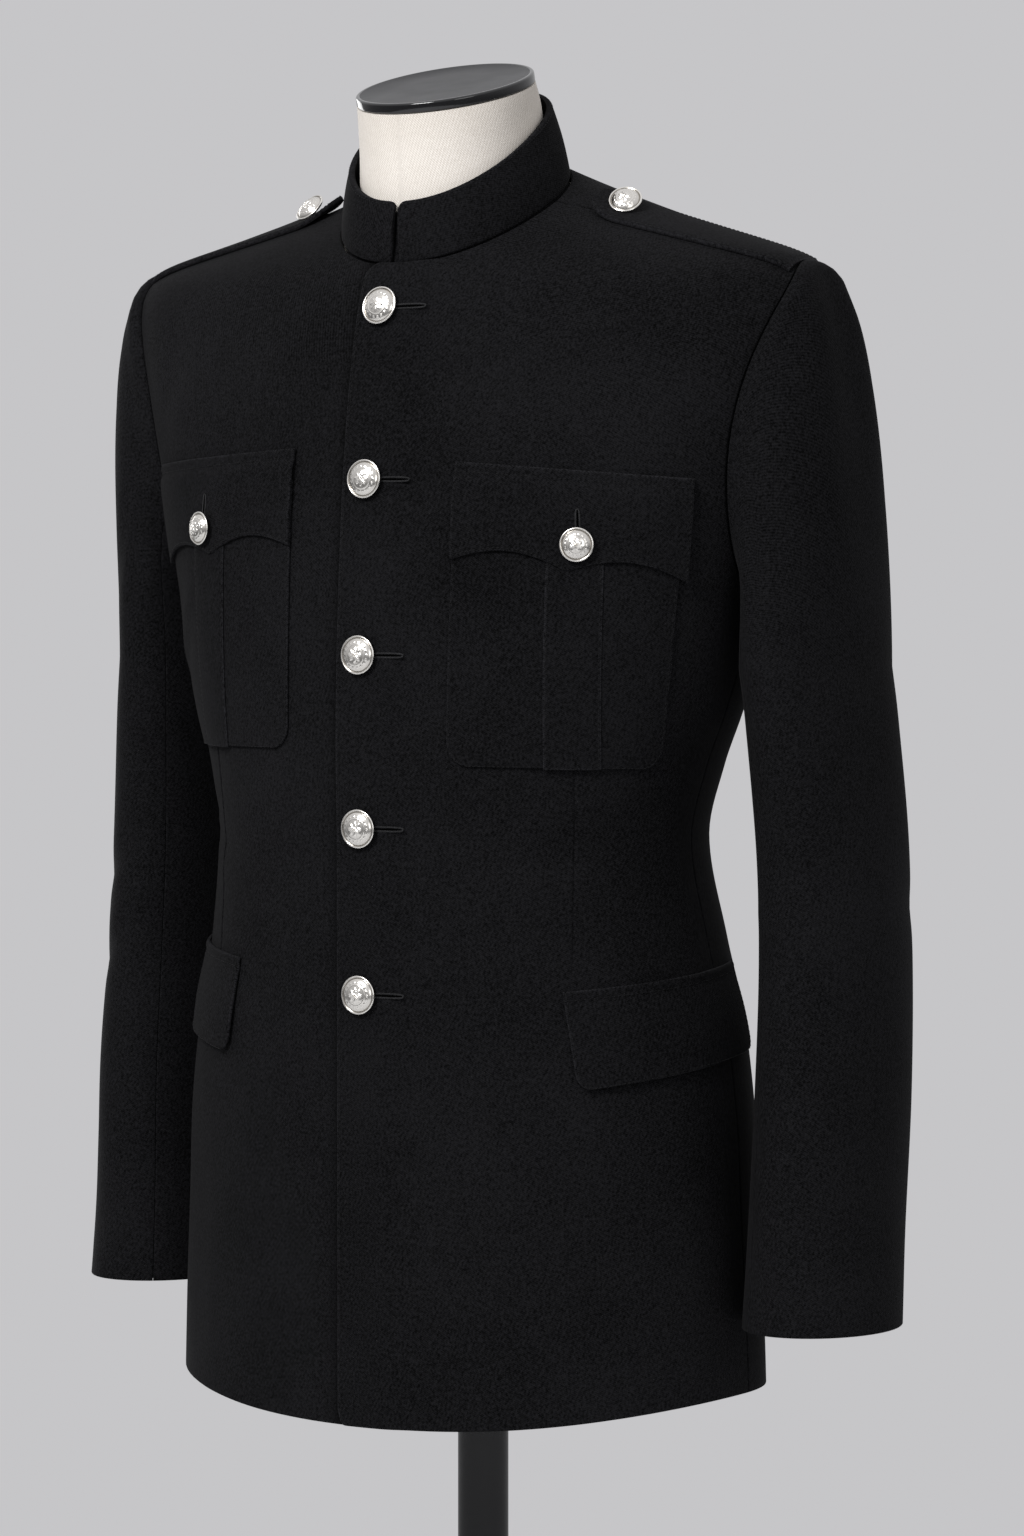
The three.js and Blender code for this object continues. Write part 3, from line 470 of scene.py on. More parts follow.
def metal_material():
    """Silver plate: bright on the high places, a little tarnish in the hollows."""
    material, tree, shader = principled("struck silver", Metallic=1.0)
    spot = add_node(tree, "ShaderNodeTexCoord")
    grain = add_node(tree, "ShaderNodeTexNoise", Scale=420.0, Detail=4.0)
    tree.links.new(spot.outputs["Object"], grain.inputs["Vector"])
    height = add_node(tree, "ShaderNodeAttribute", {"attribute_name": "relief"})
    colour = add_node(tree, "ShaderNodeValToRGB")
    colour.color_ramp.elements[0].color = (0.3, 0.275, 0.24, 1)
    colour.color_ramp.elements[1].color = (0.95, 0.92, 0.87, 1)
    colour.color_ramp.elements[0].position = 0.2
    colour.color_ramp.elements[1].position = 0.72
    tree.links.new(height.outputs["Fac"], colour.inputs[0])
    tree.links.new(colour.outputs[0], shader.inputs["Base Color"])
    rough = maths(tree, "MULTIPLY_ADD", grain.outputs[0], 0.1, 0.17)
    tree.links.new(rough, shader.inputs["Roughness"])
    return material


def enamel(name, colour, roughness, coat):
    """Paint or moulded plastic with a faint mottle in its gloss."""
    material, tree, shader = principled(name, Base_Color=(*colour, 1), Coat_Weight=coat)
    spot = add_node(tree, "ShaderNodeTexCoord")
    mottle = add_node(tree, "ShaderNodeTexNoise", Scale=60.0, Detail=5.0)
    tree.links.new(spot.outputs["Object"], mottle.inputs["Vector"])
    tree.links.new(maths(tree, "MULTIPLY_ADD", mottle.outputs[0], 0.12, roughness),
                   shader.inputs["Roughness"])
    relief = add_node(tree, "ShaderNodeBump", Strength=0.06, Distance=0.0002)
    tree.links.new(mottle.outputs[0], relief.inputs["Height"])
    tree.links.new(relief.outputs[0], shader.inputs["Normal"])
    return material


SILVER = metal_material()
GLOSS = enamel("gloss black enamel", (0.006, 0.006, 0.007), 0.05, 0.6)
SATIN = enamel("satin dark grey", (0.016, 0.016, 0.018), 0.34, 0.05)
print("materials:", [m.name for m in bpy.data.materials])

# %% [markdown]
# ## Fronts and backs
# The left front laps over the right one by the width of a button stand, so it is
# lifted near the centre. Each panel's rows run through the armhole's oval, which keeps
# the armhole's edge clean. Soft creases are low ridges and troughs added to the lift,
# and the dart is a fine trough with its own close columns. A cloth simulation would also
# fold the wool, but not the same way twice, and the pockets have to lie on it exactly.

# %% Armhole and panel rows
ARMHOLE = dict(y=-4, z=1261, half_width=53, half_height=101)
LAP_LIFT = 2.45
LAP, UNDERLAP = 18, 14
# Painted shadow: how far the right front's colour is darkened beside the lap's edge.
LAP_SHADOW_PAINTED = -0.75
GIRTH_RADIUS = 170


def armhole_place(degrees):
    """phi and v of the armhole's points, 0 at the shoulder and 90 at the front."""
    degrees = np.asarray(degrees, float) % 360
    a = np.radians(degrees)
    wanted = np.stack([ARMHOLE["y"] - ARMHOLE["half_width"] * np.sin(a),
                       ARMHOLE["z"] + ARMHOLE["half_height"] * np.cos(a)], -1)
    front = degrees <= 180
    first_phi, first_v = np.where(front, 80, 100), np.where(np.cos(a) > 0.5, 1.5, 1.3)
    return solve_body([1, 2], wanted, np.stack([np.radians(first_phi), first_v], -1))


SIDE_SEAM = armhole_place(180)[0]
TOP_PHI, TOP_V = armhole_place(0)
NECK_PHI = radians(88)
SEAM = 0.3


def panel_rows(side):
    """v and the edge angle of every row of a front (1) or a back (-1)."""
    low = spaced(0, 505, 6)[:-1] / 505
    rows = [(v, SIDE_SEAM) for v in low if v < 0.995]
    around = np.arange(180, -1, -5.0)
    rows += [(v, phi) for phi, v in armhole_place(around if side > 0 else 360 - around)]
    for t in np.concatenate([np.linspace(0.035, 0.97, 26), [0.985, 0.995, 1]]):
        rows.append((TOP_V + (2 - TOP_V) * t, TOP_PHI + (NECK_PHI - TOP_PHI) * t))
    return np.array(rows)


def creases(run, z, table):
    """Soft folds: run and z of the middle, lean in degrees, half length, width and height."""
    total = np.zeros_like(z)
    for c_run, c_z, lean, half, width, height in table:
        a = radians(lean)
        along = (run - c_run) * sin(a) + (z - c_z) * cos(a)
        across = (run - c_run) * cos(a) - (z - c_z) * sin(a)
        total += height * np.exp(-(across / width) ** 2) * np.exp(-(along / half) ** 4)
    return total


FRONT_FOLDS = [  # run, z, lean, half length, width, height
    (185, 1130, -35, 45, 9, 1.2), (192, 1108, -52, 34, 7, -1.0), (150, 1005, 82, 36, 7, -1.1),
    (172, 1024, 74, 30, 6, -0.9), (120, 985, 86, 30, 8, 0.8), (95, 760, 3, 95, 24, 1.6),
    (215, 790, -6, 90, 20, 1.4), (160, 740, 0, 70, 18, -1.2), (100, 1300, 62, 46, 10, 0.8),
    (195, 1300, -12, 50, 12, -1.2), (40, 1205, 80, 28, 8, 0.6), (38, 1075, 74, 26, 7, 0.6)]
BACK_FOLDS = [
    (60, 1010, 78, 50, 9, -1.2), (115, 1035, 66, 46, 8, -1.0), (90, 985, 88, 42, 10, 1.0),
    (70, 800, 2, 100, 26, 2.0), (150, 790, -4, 90, 20, 1.5), (165, 1200, -24, 60, 12, 1.4),
    (190, 1160, -40, 40, 8, -1.0), (60, 1350, 74, 50, 14, 0.8)]


DART = dict(run=137, low=926, high=1064, fade=12, deep=0.85, wide=0.8)


def panel(name, node, phi, v, start_lift, folds, mirror, painted_highlight_and_shade, dart=None):
    base, normals = body(phi, v), body_normal(phi, v)
    across = lengths_along(base, 1)
    zero_at = np.abs(base[..., 0]).argmin(axis=1)
    run = np.abs(across - across[np.arange(len(across)), zero_at][:, None])
    lift = start_lift + creases(run, base[..., 2], folds)
    if dart is not None:
        off = across - across[:, dart:dart + 1]
        z = base[:, dart:dart + 1, 2]
        along = np.clip((z - DART["low"]) / DART["fade"], 0, 1) * (z < DART["high"])
        lift = lift - DART["deep"] * np.exp(-(off / DART["wide"]) ** 2) * along
    clear_of_edge = np.clip(np.minimum(across, across[:, -1:] - across) / 12, 0, 1)
    lift = lift * clear_of_edge + start_lift * (1 - clear_of_edge)
    if mirror:
        base, normals, lift, painted_highlight_and_shade = flipped(base), flipped(normals), lift[:, ::-1], painted_highlight_and_shade[:, ::-1]
    return cloth(name, node, base, normals, CLOTH, WOOL, lift=lift - CLOTH, painted_highlight_and_shade=painted_highlight_and_shade)


def round_corner(distance, radius):
    near = np.clip(distance, 0, radius)
    return radius - np.sqrt(radius**2 - (radius - near) ** 2)


def front_panel(name, node, lap, lifted, mirror):
    rows = panel_rows(1)
    v, edge = rows[:, :1], rows[:, 1:]
    centre = body(0, v[:, 0])
    from_neck = np.linalg.norm(centre - body(0, 2), axis=-1)
    from_hem = np.linalg.norm(centre - body(0, 0), axis=-1)
    start = -lap + np.minimum(np.maximum(round_corner(from_neck, 12), round_corner(from_hem, 12) / 2), 9)
    near_x = spaced(0, 60, 4.5)
    near_x = near_x[near_x < 56]
    x = start[:, None] + near_x * ((44 - start[:, None]) / 56)
    near = phi_at_x(x, np.broadcast_to(v, x.shape))
    reach = np.linalg.norm(body(edge + 0.01, v) - body(edge, v), axis=-1) / 0.01
    trimmed = edge - SEAM / 2 / reach
    low_rows = v[:, 0] < 1
    dart_phi = place_at(DART["run"], np.clip(centre[:, 2], LEVELS[0], ARMPIT))[0][:, None]
    whole, to_dart = trimmed - near[:, -1:], dart_phi - near[:, -1:]
    level_share = to_dart[low_rows][-1:] / whole[low_rows][-1:]
    dart_phi = np.where(v < 1, dart_phi, near[:, -1:] + whole * level_share)
    fine = np.array([-3.5, -2.2, -1.3, -0.7, -0.35, 0, 0.35, 0.7, 1.3, 2.2, 3.5]) / GIRTH_RADIUS
    before = np.linspace(0, 1, 20)[1:-1]
    turned_edge = 1 - np.array([6, 3.2, 1.8, 0.9, 0.35, 0]) / 75
    after = np.concatenate([np.linspace(0, 1, 14)[1:-2], turned_edge])
    first_fine, last_fine = dart_phi + fine[0], dart_phi + fine[-1]
    far = np.concatenate([near[:, -1:] + (first_fine - near[:, -1:]) * before, dart_phi + fine,
                          last_fine + (trimmed - last_fine) * after], 1)
    phi = np.concatenate([near, far], 1)
    dart = near.shape[1] + len(before) + len(fine) // 2
    x_all = body(phi, v)[..., 0]
    past_lap = np.clip((x_all - 14) / 20, 0, 1)
    lift = lifted * (1 - past_lap) ** 2 * (1 + 2 * past_lap)
    # The right front is darkened just past the lap's edge as painted shadow; the left front's lap edge
    # gets a painted highlight.
    if mirror:
        painted_highlight_and_shade = LAP_SHADOW_PAINTED * np.exp(-np.clip(x_all - LAP, 0, None) / 3.0)
    else:
        painted_highlight_and_shade = EDGE_HIGHLIGHT_PAINTED * np.exp(-(x_all - start[:, None]) ** 2)
    return panel(name, node, phi, v, lift, FRONT_FOLDS, mirror, painted_highlight_and_shade, dart)


def back_panel(name, node, mirror):
    rows = panel_rows(-1)
    v, edge = rows[:, :1], rows[:, 1:]
    reach = np.linalg.norm(body(edge + 0.01, v) - body(edge, v), axis=-1) / 0.01
    first = edge + SEAM / 2 / reach
    last = pi - SEAM / 2 / (np.abs(body(pi - 0.01, v)[..., 0]) / 0.01)
    t = spaced(0, 220, 6) / 220
    phi = first + (last - first) * t
    return panel(name, node, phi, v, np.zeros(phi.shape), BACK_FOLDS, mirror, np.zeros(phi.shape))


front_panel("left front", "front_left", LAP, LAP_LIFT, False)
front_panel("right front", "front_right", UNDERLAP, 0.0, True)
back_panel("left back", "back_left", False)
back_panel("right back", "back_right", True)

# %% [markdown]
# ## Sleeves
# A tailored sleeve has two pieces. Their surface leaves the armhole outwards, turns down
# over the arm and follows a short table of sections to the cuff. The head is eased in,
# so it stands a little proud of the seam all over the top.

# %% Sleeve surface
SLEEVE = np.array([  # z, x, y, half x, half y
    (1115, 230, 17, 36, 72), (1080, 234, 18, 38, 68), (1000, 240, 21, 40, 64), (930, 243, 20, 41, 64),
    (850, 244, 15, 42, 65), (770, 243, 9, 43, 63), (712, 244, 2, 46, 59)], float)


def armhole_frame(degrees):
    """The armhole's points, the cloth's normals there and the ways out from its middle."""
    phi, v = armhole_place(degrees).T
    after, before = armhole_place(degrees + 1), armhole_place(degrees - 1)
    tangent = body(*after.T) - body(*before.T)
    normal = body_normal(phi, v)
    return body(phi, v), normal, unit(np.cross(normal, tangent))


def sleeve_section(t):
    """Centre and half sizes for t from 1, at the armpit, to 7, at the cuff."""
    knots = np.arange(1, len(SLEEVE) + 1)
    i = np.clip(np.searchsorted(knots, t) - 1, 0, len(knots) - 2)
    before, after = np.maximum(i - 1, 0), np.minimum(i + 2, len(knots) - 1)
    f = (t - knots[i])[:, None]
    low, high = SLEEVE[i], SLEEVE[i + 1]
    slope_low = (high - SLEEVE[before]) / (i + 1 - before)[:, None]
    slope_high = (SLEEVE[after] - low) / (after - i)[:, None]
    return ((2 * f**3 - 3 * f**2 + 1) * low + (f**3 - 2 * f**2 + f) * slope_low
            + (3 * f**2 - 2 * f**3) * high + (f**3 - f**2) * slope_high)


def sleeve_grid(angles, t):
    a = np.radians(angles)
    points = np.empty((len(t), len(a), 3))
    place, normal, outward = armhole_frame(angles)
    start = place + 0.4 * normal + 0.4 * outward
    c = np.cos(a)[:, None]
    top, side, bottom = np.array([1, 0, 0.15]), np.array([0.95, 0, -0.45]), np.array([0.2, 0, -1])
    leave = unit(side * (1 - np.abs(c)) + np.where(c > 0, top, bottom) * np.abs(c))
    z, x, y, half_x, half_y = SLEEVE[0]
    armpit = np.stack([x + half_x * np.cos(a), y - half_y * np.sin(a), np.full(a.shape, z)], -1)
    length = np.linalg.norm(armpit - start, axis=-1, keepdims=True)
    leave = leave * np.minimum(np.where(c > 0, 95, 60), length * 0.9)
    arrive = np.array([0, 0, -1]) * length
    for row, value in enumerate(t):
        if value < 1:
            k = value
            points[row] = ((2 * k**3 - 3 * k**2 + 1) * start + (k**3 - 2 * k**2 + k) * leave
                           + (3 * k**2 - 2 * k**3) * armpit + (k**3 - k**2) * arrive)
        else:
            z, x, y, half_x, half_y = sleeve_section(np.array([value]))[0]
            points[row] = np.stack([x + half_x * np.cos(a), y - half_y * np.sin(a), z + 0 * a], -1)
    return points


def grid_normals(points):
    across = np.gradient(points, axis=1)
    along = np.gradient(points, axis=0)
    return unit(np.cross(across, along))


SLEEVE_FOLDS = [  # angle, z, lean, half length, width, height
    (70, 985, 60, 40, 9, -1.6), (95, 955, 72, 36, 8, 1.3), (60, 925, 55, 44, 9, -1.3),
    (20, 1190, 12, 60, 14, 1.2), (85, 1210, 24, 55, 9, -1.4), (110, 1165, 30, 45, 8, 1.2),
    (-20, 1080, 8, 90, 22, 1.4), (45, 820, 6, 80, 20, 1.2), (-60, 960, 70, 50, 12, -1.2),
    (-80, 1180, -18, 60, 10, -1.4), (10, 760, 2, 45, 26, 1.0)]


def sleeve(name, node, first, last, mirror):
    angles = first + (last - first) * spaced(0, 1, 0.03, (0, 0.002, 0.006, 0.012, 0.02))
    angles[0] += 0.15
    angles[-1] -= 0.15
    cap_rows = np.concatenate([[0, 0.004, 0.01, 0.018, 0.03], np.linspace(0.045, 0.96, 44)])
    t = np.concatenate([cap_rows, np.linspace(1, 6.9, 70), [6.97, 6.99, 7]])
    points = sleeve_grid(angles, t)
    normals = grid_normals(points)
    down = lengths_along(points, 0)
    head = np.clip(np.cos(np.radians(angles)) + 0.35, 0, 1)
    rope = 2.0 * np.exp(-((down - 6) / 7) ** 2) * head * np.clip(down / 2, 0, 1)
    run = np.radians(angles)[None, :] * 55 + 0 * down
    table = [(radians(row[0]) * 55, *row[1:]) for row in SLEEVE_FOLDS]
    fade = np.clip(down / 20, 0, 1) * np.clip((down[-1:] - down) / 20, 0, 1)
    across = lengths_along(points, 1)
    fade = fade * np.clip(np.minimum(across, across[:, -1:] - across) / 12, 0, 1)
    lift = rope + creases(run, points[..., 2], table) * fade
    if mirror:
        points, normals, lift = flipped(points), flipped(normals), lift[:, ::-1]
    return cloth(name, node, points, normals, CLOTH, WOOL, edge=0.6, lift=lift - CLOTH,
                 painted_highlight_and_shade=np.zeros(lift.shape))


SLEEVE_SEAMS = (120, 260)
for side, mirror in (("left", False), ("right", True)):
    fore_seam, hind_seam = SLEEVE_SEAMS
    sleeve(f"{side} top sleeve", f"top_sleeve_{side}", hind_seam - 360, fore_seam, mirror)
    sleeve(f"{side} under sleeve", f"under_sleeve_{side}", fore_seam, hind_seam, mirror)

# %% [markdown]
# ## Stand collar
# The collar is two layers of wool round a canvas, so it is the thickest piece. It stands
# on the neckline, leans in a little, and its two ends leave a narrow V at the centre.

# %% Collar
COLLAR = dict(thick=3.5, foot_in=0.7, foot_up=0.3, gap_low=3.5, gap_high=0.9, corner=6)


def collar():
    close = np.array([0, 0.01, 0.025, 0.06])
    heights = np.concatenate([close, np.linspace(0.12, 0.88, 12), (1 - close)[::-1]])
    from_end = np.array([0, 0.4, 1.0, 1.8, 3.0, 4.4, 6.0, 9.0])
    rows = []
    for t in heights:
        gap = COLLAR["gap_low"] + (COLLAR["gap_high"] - COLLAR["gap_low"]) * t
        left = phi_at_x(gap + from_end, np.full(from_end.shape, 2.0))
        middle = np.linspace(left[-1], 2 * pi - left[-1], 110)[1:-1]
        phi = np.concatenate([left, middle, 2 * pi - left[::-1]])
        cut = np.concatenate([from_end, np.full(middle.shape, 9.0), from_end[::-1]])
        normal = body_normal(phi, np.full(phi.shape, 2.0))
        across = body(phi + 0.01, 2) - body(phi - 0.01, 2)
        inward = unit(np.cross(normal, across))
        foot = body(phi, 2) + normal * COLLAR["foot_up"] + inward * COLLAR["foot_in"]
        rise = ring(COLLAR_TOP, phi) - foot
        drop = round_corner(cut, COLLAR["corner"]) / np.linalg.norm(rise, axis=-1)
        bow = unit(np.cross(across, rise)) * (1.2 * sin(pi * t))
        rows.append(foot + rise * (t * (1 - drop))[:, None] + bow)
    points = np.array(rows)
    return cloth("stand collar", "collar", points, grid_normals(points), COLLAR["thick"], WOOL,
                 edge=1.5, lift=-COLLAR["thick"])


collar()

# %% [markdown]
# ## Pockets, pleats and flaps
# They lie on the fronts, so each is made from the front's own surface, moved out. The
# breast flap's lower edge has two hollow curves that meet in a point under the button.

# %% Pocket pieces
# Corners as run and z, in mm: along the body from the centre front, and the height.
BREAST_FLAP = dict(top_in=(60, 1241), top_out=(208, 1231), low_in=(60, 1181), low_out=(206, 1168))
BREAST_POCKET = dict(top_in=(61, 1222), top_out=(204, 1213), low_in=(59, 1056.5), low_out=(194, 1055))
HIP_FLAP = dict(top_in=(130, 920), top_out=(272, 932), low_in=(140, 861), low_out=(285, 878))
LIE = 0.7
AS_WORN = {"left": dict(breast=(0, 0), hip=(0, 0)), "right": dict(breast=(-3, 8), hip=(-25, 12))}


def four_cornered(piece, u, t, corner=0.0):
    """run and z of a grid on a four-cornered piece, u across and t up, low corners round."""
    corners = {key: np.array(value, float) for key, value in piece.items()}
    t = np.asarray(t)[:, None, None]
    inner = corners["low_in"] + (corners["top_in"] - corners["low_in"]) * t
    outer = corners["low_out"] + (corners["top_out"] - corners["low_out"]) * t
    if corner:
        tall = corners["top_in"][1] - corners["low_in"][1]
        cut = round_corner(t[..., 0] * tall, corner)[..., None] * np.array([1, 0])
        inner, outer = inner + cut, outer - cut
    return inner + (outer - inner) * np.asarray(u)[None, :, None]


def on_body(run_z):
    phi, v = place_at(run_z[..., 0], run_z[..., 1])
    return body(phi, v), body_normal(phi, v)


def sewn_on(name, node, run_z, lift, thick, mirror, edge=0.8):
    points, normals = on_body(run_z)
    folds = creases(run_z[..., 0], run_z[..., 1], FRONT_FOLDS)
    lift = np.broadcast_to(lift, points.shape[:2]) + folds * 0.9
    if mirror:
        points, normals, lift = flipped(points), flipped(normals), lift[:, ::-1]
    return cloth(name, node, points, normals, thick, WOOL, edge=edge, lift=lift)


def flap_rise(t, clear, ease):
    """Sewn down along its top, a flap rides up over what it covers."""
    k = np.clip((1 - t) / ease, 0, 1)
    return LIE + (clear - LIE) * k * k * (3 - 2 * k)


def band(t, tall, deep):
    """The welt along the top of a flap, a shallow groove below a soft roll."""
    below_top = (1 - t) * tall
    return 0.5 * np.exp(-((below_top - 3) / 2.2) ** 2) - 0.7 * np.exp(-((below_top - deep) / 0.8) ** 2)


for side, mirror in (("left", False), ("right", True)):
    moved, hip_moved = np.array(AS_WORN[side]["breast"]), np.array(AS_WORN[side]["hip"])
    tall = 60
    t = spaced(0, tall, 3.2) / tall
    u = spaced(0, 148, 3.5) / 148
    run_z = four_cornered(BREAST_FLAP, u, t)
    arch = 9 * np.abs(np.sin(2 * pi * u)) ** 0.9
    run_z[..., 1] += arch[None, :] * (1 - t[:, None])
    lift = flap_rise(t, 2.9, 0.25) + band(t, tall, 6.5)
    sewn_on(f"{side} breast flap", f"breast_flap_{side}", run_z + moved, lift[:, None], 1.9, mirror)

    tall = 166
    t = spaced(0, tall, 5) / tall
    u = spaced(0, 140, 4) / 140
    run_z = four_cornered(BREAST_POCKET, u, t, 14)
    sewn_on(f"{side} breast pocket", f"breast_pocket_{side}", run_z + moved, LIE, 1.3, mirror, 0.6)

    tall = 161
    t = spaced(0, tall, 5) / tall
    u = np.linspace(-1, 1, 15)
    middle = 136 + 2 * t[:, None]
    run_z = np.stack([middle + 17.4 * u[None, :], 1055 + tall * t[:, None] + 0 * u[None, :]], -1)
    swell = LIE + 1.5 + 0.25 * (1 - u**2)
    sewn_on(f"{side} pocket pleat", f"pocket_pleat_{side}", run_z + moved, swell, 1.1, mirror, 0.5)

    tall = 58
    t = spaced(0, tall, 3.2) / tall
    u = spaced(0, 143, 4) / 143
    run_z = four_cornered(HIP_FLAP, u, t, 8)
    lift = flap_rise(t, 2.2, 0.8) + band(t, tall, 6.5)
    sewn_on(f"{side} hip flap", f"hip_flap_{side}", run_z + hip_moved, lift[:, None], 1.9, mirror)

# %% [markdown]
# ## Shoulder straps
# A strap is caught in the sleeve's seam, lies along the shoulder and buttons near the
# collar. Its loose end is rounded and stands a few millimetres off the cloth.

# %% Strap
STRAP = dict(arm_x=234, arm_y=-6, neck_x=95, neck_y=-19, arm_half=20, neck_half=18, tip=20)


def strap_place(x, across):
    """phi and v of a point of the strap, seen from above."""
    x, across = np.broadcast_arrays(np.asarray(x, float), np.asarray(across, float))
    t = (STRAP["arm_x"] - x) / (STRAP["arm_x"] - STRAP["neck_x"])
    y = STRAP["arm_y"] + (STRAP["neck_y"] - STRAP["arm_y"]) * t + across
    start = np.stack([np.full(x.shape, pi / 2), 1.56 + 0.29 * t], -1)
    return solve_body([0, 1], np.stack([x, y], -1), start)


def strap(name, node, mirror):
    from_tip = np.concatenate([[0, 0.6, 1.6, 3, 5, 8, 12, 16], np.linspace(20, 139, 30)])
    us = np.array([-1, -0.985, -0.95, -0.9, -0.75, -0.5, -0.25, 0, 0.25, 0.5, 0.75, 0.9, 0.95, 0.985, 1])
    xs = STRAP["neck_x"] + from_tip[::-1]
    t = (STRAP["arm_x"] - xs) / (STRAP["arm_x"] - STRAP["neck_x"])
    k = np.minimum(1, from_tip[::-1] / STRAP["tip"])
    half = STRAP["arm_half"] + (STRAP["neck_half"] - STRAP["arm_half"]) * t
    half = half * (0.25 + 0.75 * np.sqrt(1 - (1 - k) ** 2))
    place = strap_place(xs[:, None], us[None, :] * half[:, None])
    points, normals = body(place[..., 0], place[..., 1]), body_normal(place[..., 0], place[..., 1])
    raised = 4.2 * np.clip(1 - from_tip[::-1] / 26, 0, 1) ** 2
    roll, stitched = np.abs(us) ** 6, np.exp(-((1 - np.abs(us) - 0.14) / 0.05) ** 2)
    lift = 1.0 + raised[:, None] - (0.5 * roll - 0.35 * stitched)[None, :]
    if mirror:
        points, normals, lift = flipped(points), flipped(normals), lift[:, ::-1]
    return cloth(name, node, points, normals, 2.7, WOOL, edge=1.1, lift=lift - 0.2)


strap("left shoulder strap", "shoulder_strap_left", False)
strap("right shoulder strap", "shoulder_strap_right", True)

# %% [markdown]
# ## Struck buttons
# A uniform button is a domed shell struck from sheet with a raised rim. This one has a
# plain flower of eight petals in a ring of beads, worked out as a height over the dome.

# %% Button


def button_relief(r, angle):
    """Height of the relief over the dome, r from 0 at the middle to 1 at the rim."""
    petal = np.abs(np.cos(4 * angle)) ** 0.8
    reach = 0.24 + 0.2 * petal
    flower = 0.42 / (1 + np.exp((r - reach) / 0.016)) * (0.55 + 0.45 * np.cos(8 * angle) ** 2)
    heart = 0.3 / (1 + np.exp((r - 0.11) / 0.012))
    ring_line = 0.17 * np.exp(-((r - 0.62) / 0.022) ** 2)
    beads = 0.24 * np.clip(np.cos(18 * angle) + 0.25, 0, 1) * np.exp(-((r - 0.77) / 0.045) ** 2)
    return flower + heart + ring_line + beads


def button(name, node, centre, normal, radius):
    """A struck shell: back, turned rim and dome, as rings round its axis."""
    inside = radius - 1.7
    around = np.arange(144) * 2 * pi / 144
    profile = [(0.01, 0), (3.2, 0), (3.2, 1.4), (radius - 1.4, 1.75), (radius - 0.5, 2.05),
               (radius - 0.12, 2.45), (radius, 2.9), (radius - 0.12, 3.3), (radius - 0.45, 3.58),
               (radius - 0.85, 3.62), (radius - 1.2, 3.45), (radius - 1.45, 3.2), (inside, 3.1)]
    rows = [np.stack([r * np.cos(around), r * np.sin(around), h + 0 * around], -1) for r, h in profile]
    relief = [np.full(around.shape, 0.25 if r <= radius - 1.2 and h > 3 else 0.8) for r, h in profile]
    for r in np.linspace(0.985, 0.008, 56):
        height = button_relief(r, around)
        dome = 3.1 + 3.5 * np.sqrt(np.clip(1 - r**2, 0, 1)) ** 1.35
        x, y = inside * r * np.cos(around), inside * r * np.sin(around)
        rows.append(np.stack([x, y, dome + height], -1))
        relief.append(np.clip(0.62 + height, 0, 1))
    points = np.array(rows).reshape(-1, 3)
    turn = Vector((0, 0, 1)).rotation_difference(Vector(normal)).to_matrix()
    points = points @ np.array(turn).T + np.array(centre)
    mesh = bpy.data.meshes.new(name)
    mesh.from_pydata((points * MM).tolist(), [], tube_faces(len(rows), len(around)))
    shade = mesh.attributes.new("relief", "FLOAT", "POINT")
    shade.data.foreach_set("value", np.array(relief).ravel())
    mesh.shade_smooth()
    mesh.materials.append(SILVER)
    return put_in(name, mesh, node)


BUTTON_LEVELS = (1335, 1230, 1123, 1017, 915)
LARGE, SMALL = 12, 10.5
POCKET_BUTTON, STRAP_BUTTON = (139, 1191), 114
STRAP_LEAN = radians(28)
for number, z in enumerate(BUTTON_LEVELS, 1):
    place = (0.0, float(v_at_height(0.0, z)))
    normal = body_normal(*place)
    seat = body(*place) + normal * (LAP_LIFT + 0.3)
    button(f"front_button_{number}_struck", f"front_button_{number}", seat, normal, LARGE)

for side, sign in (("left", 1), ("right", -1)):
    flip = np.array([sign, 1, 1])
    moved = AS_WORN[side]["breast"]
    on_flap = place_at(POCKET_BUTTON[0] + moved[0], POCKET_BUTTON[1] + moved[1])
    on_strap = strap_place(STRAP_BUTTON, 0)
    places = (("pocket", on_flap, 5.7, 0), ("strap", on_strap, 5.9, STRAP_LEAN))
    for word, place, offset, lean in places:
        normal = body_normal(*place)
        seat = body(*place) + normal * offset
        normal = np.array(Matrix.Rotation(lean, 3, "X") @ Vector(normal))
        button(f"{word}_button_{side}_struck", f"{word}_button_{side}", seat * flip,
               normal * flip, SMALL)

# %% [markdown]
# ## Dress form and stand
# The form is padded and covered in linen. Only its neck shows over the collar, with the
# seam of the cover down its front. It follows the same surface as the jacket, a little
# inside it, so it fills the jacket out. The cap, pole and base are turned parts: a
# profile spun about an axis. Screw or Spin would do the same from a drawn profile.

# %% Form
FORM = dict(bottom=690, inset=8, neck_radius=56, neck_y=-43, neck_z=1469)
NECK_TILT = radians(16)
NECK_GIRTH_RADIUS = 0.09


def drawn_in(sizes, phi, distance, drop):
    point = ring(sizes, phi)
    middle = np.stack([0 * phi, 0 * phi + sizes["mid"], point[..., 2]], -1)
    share = distance / np.linalg.norm(point - middle, axis=-1)
    point = point + (middle - point) * share[:, None]
    point[:, 2] -= drop
    return point


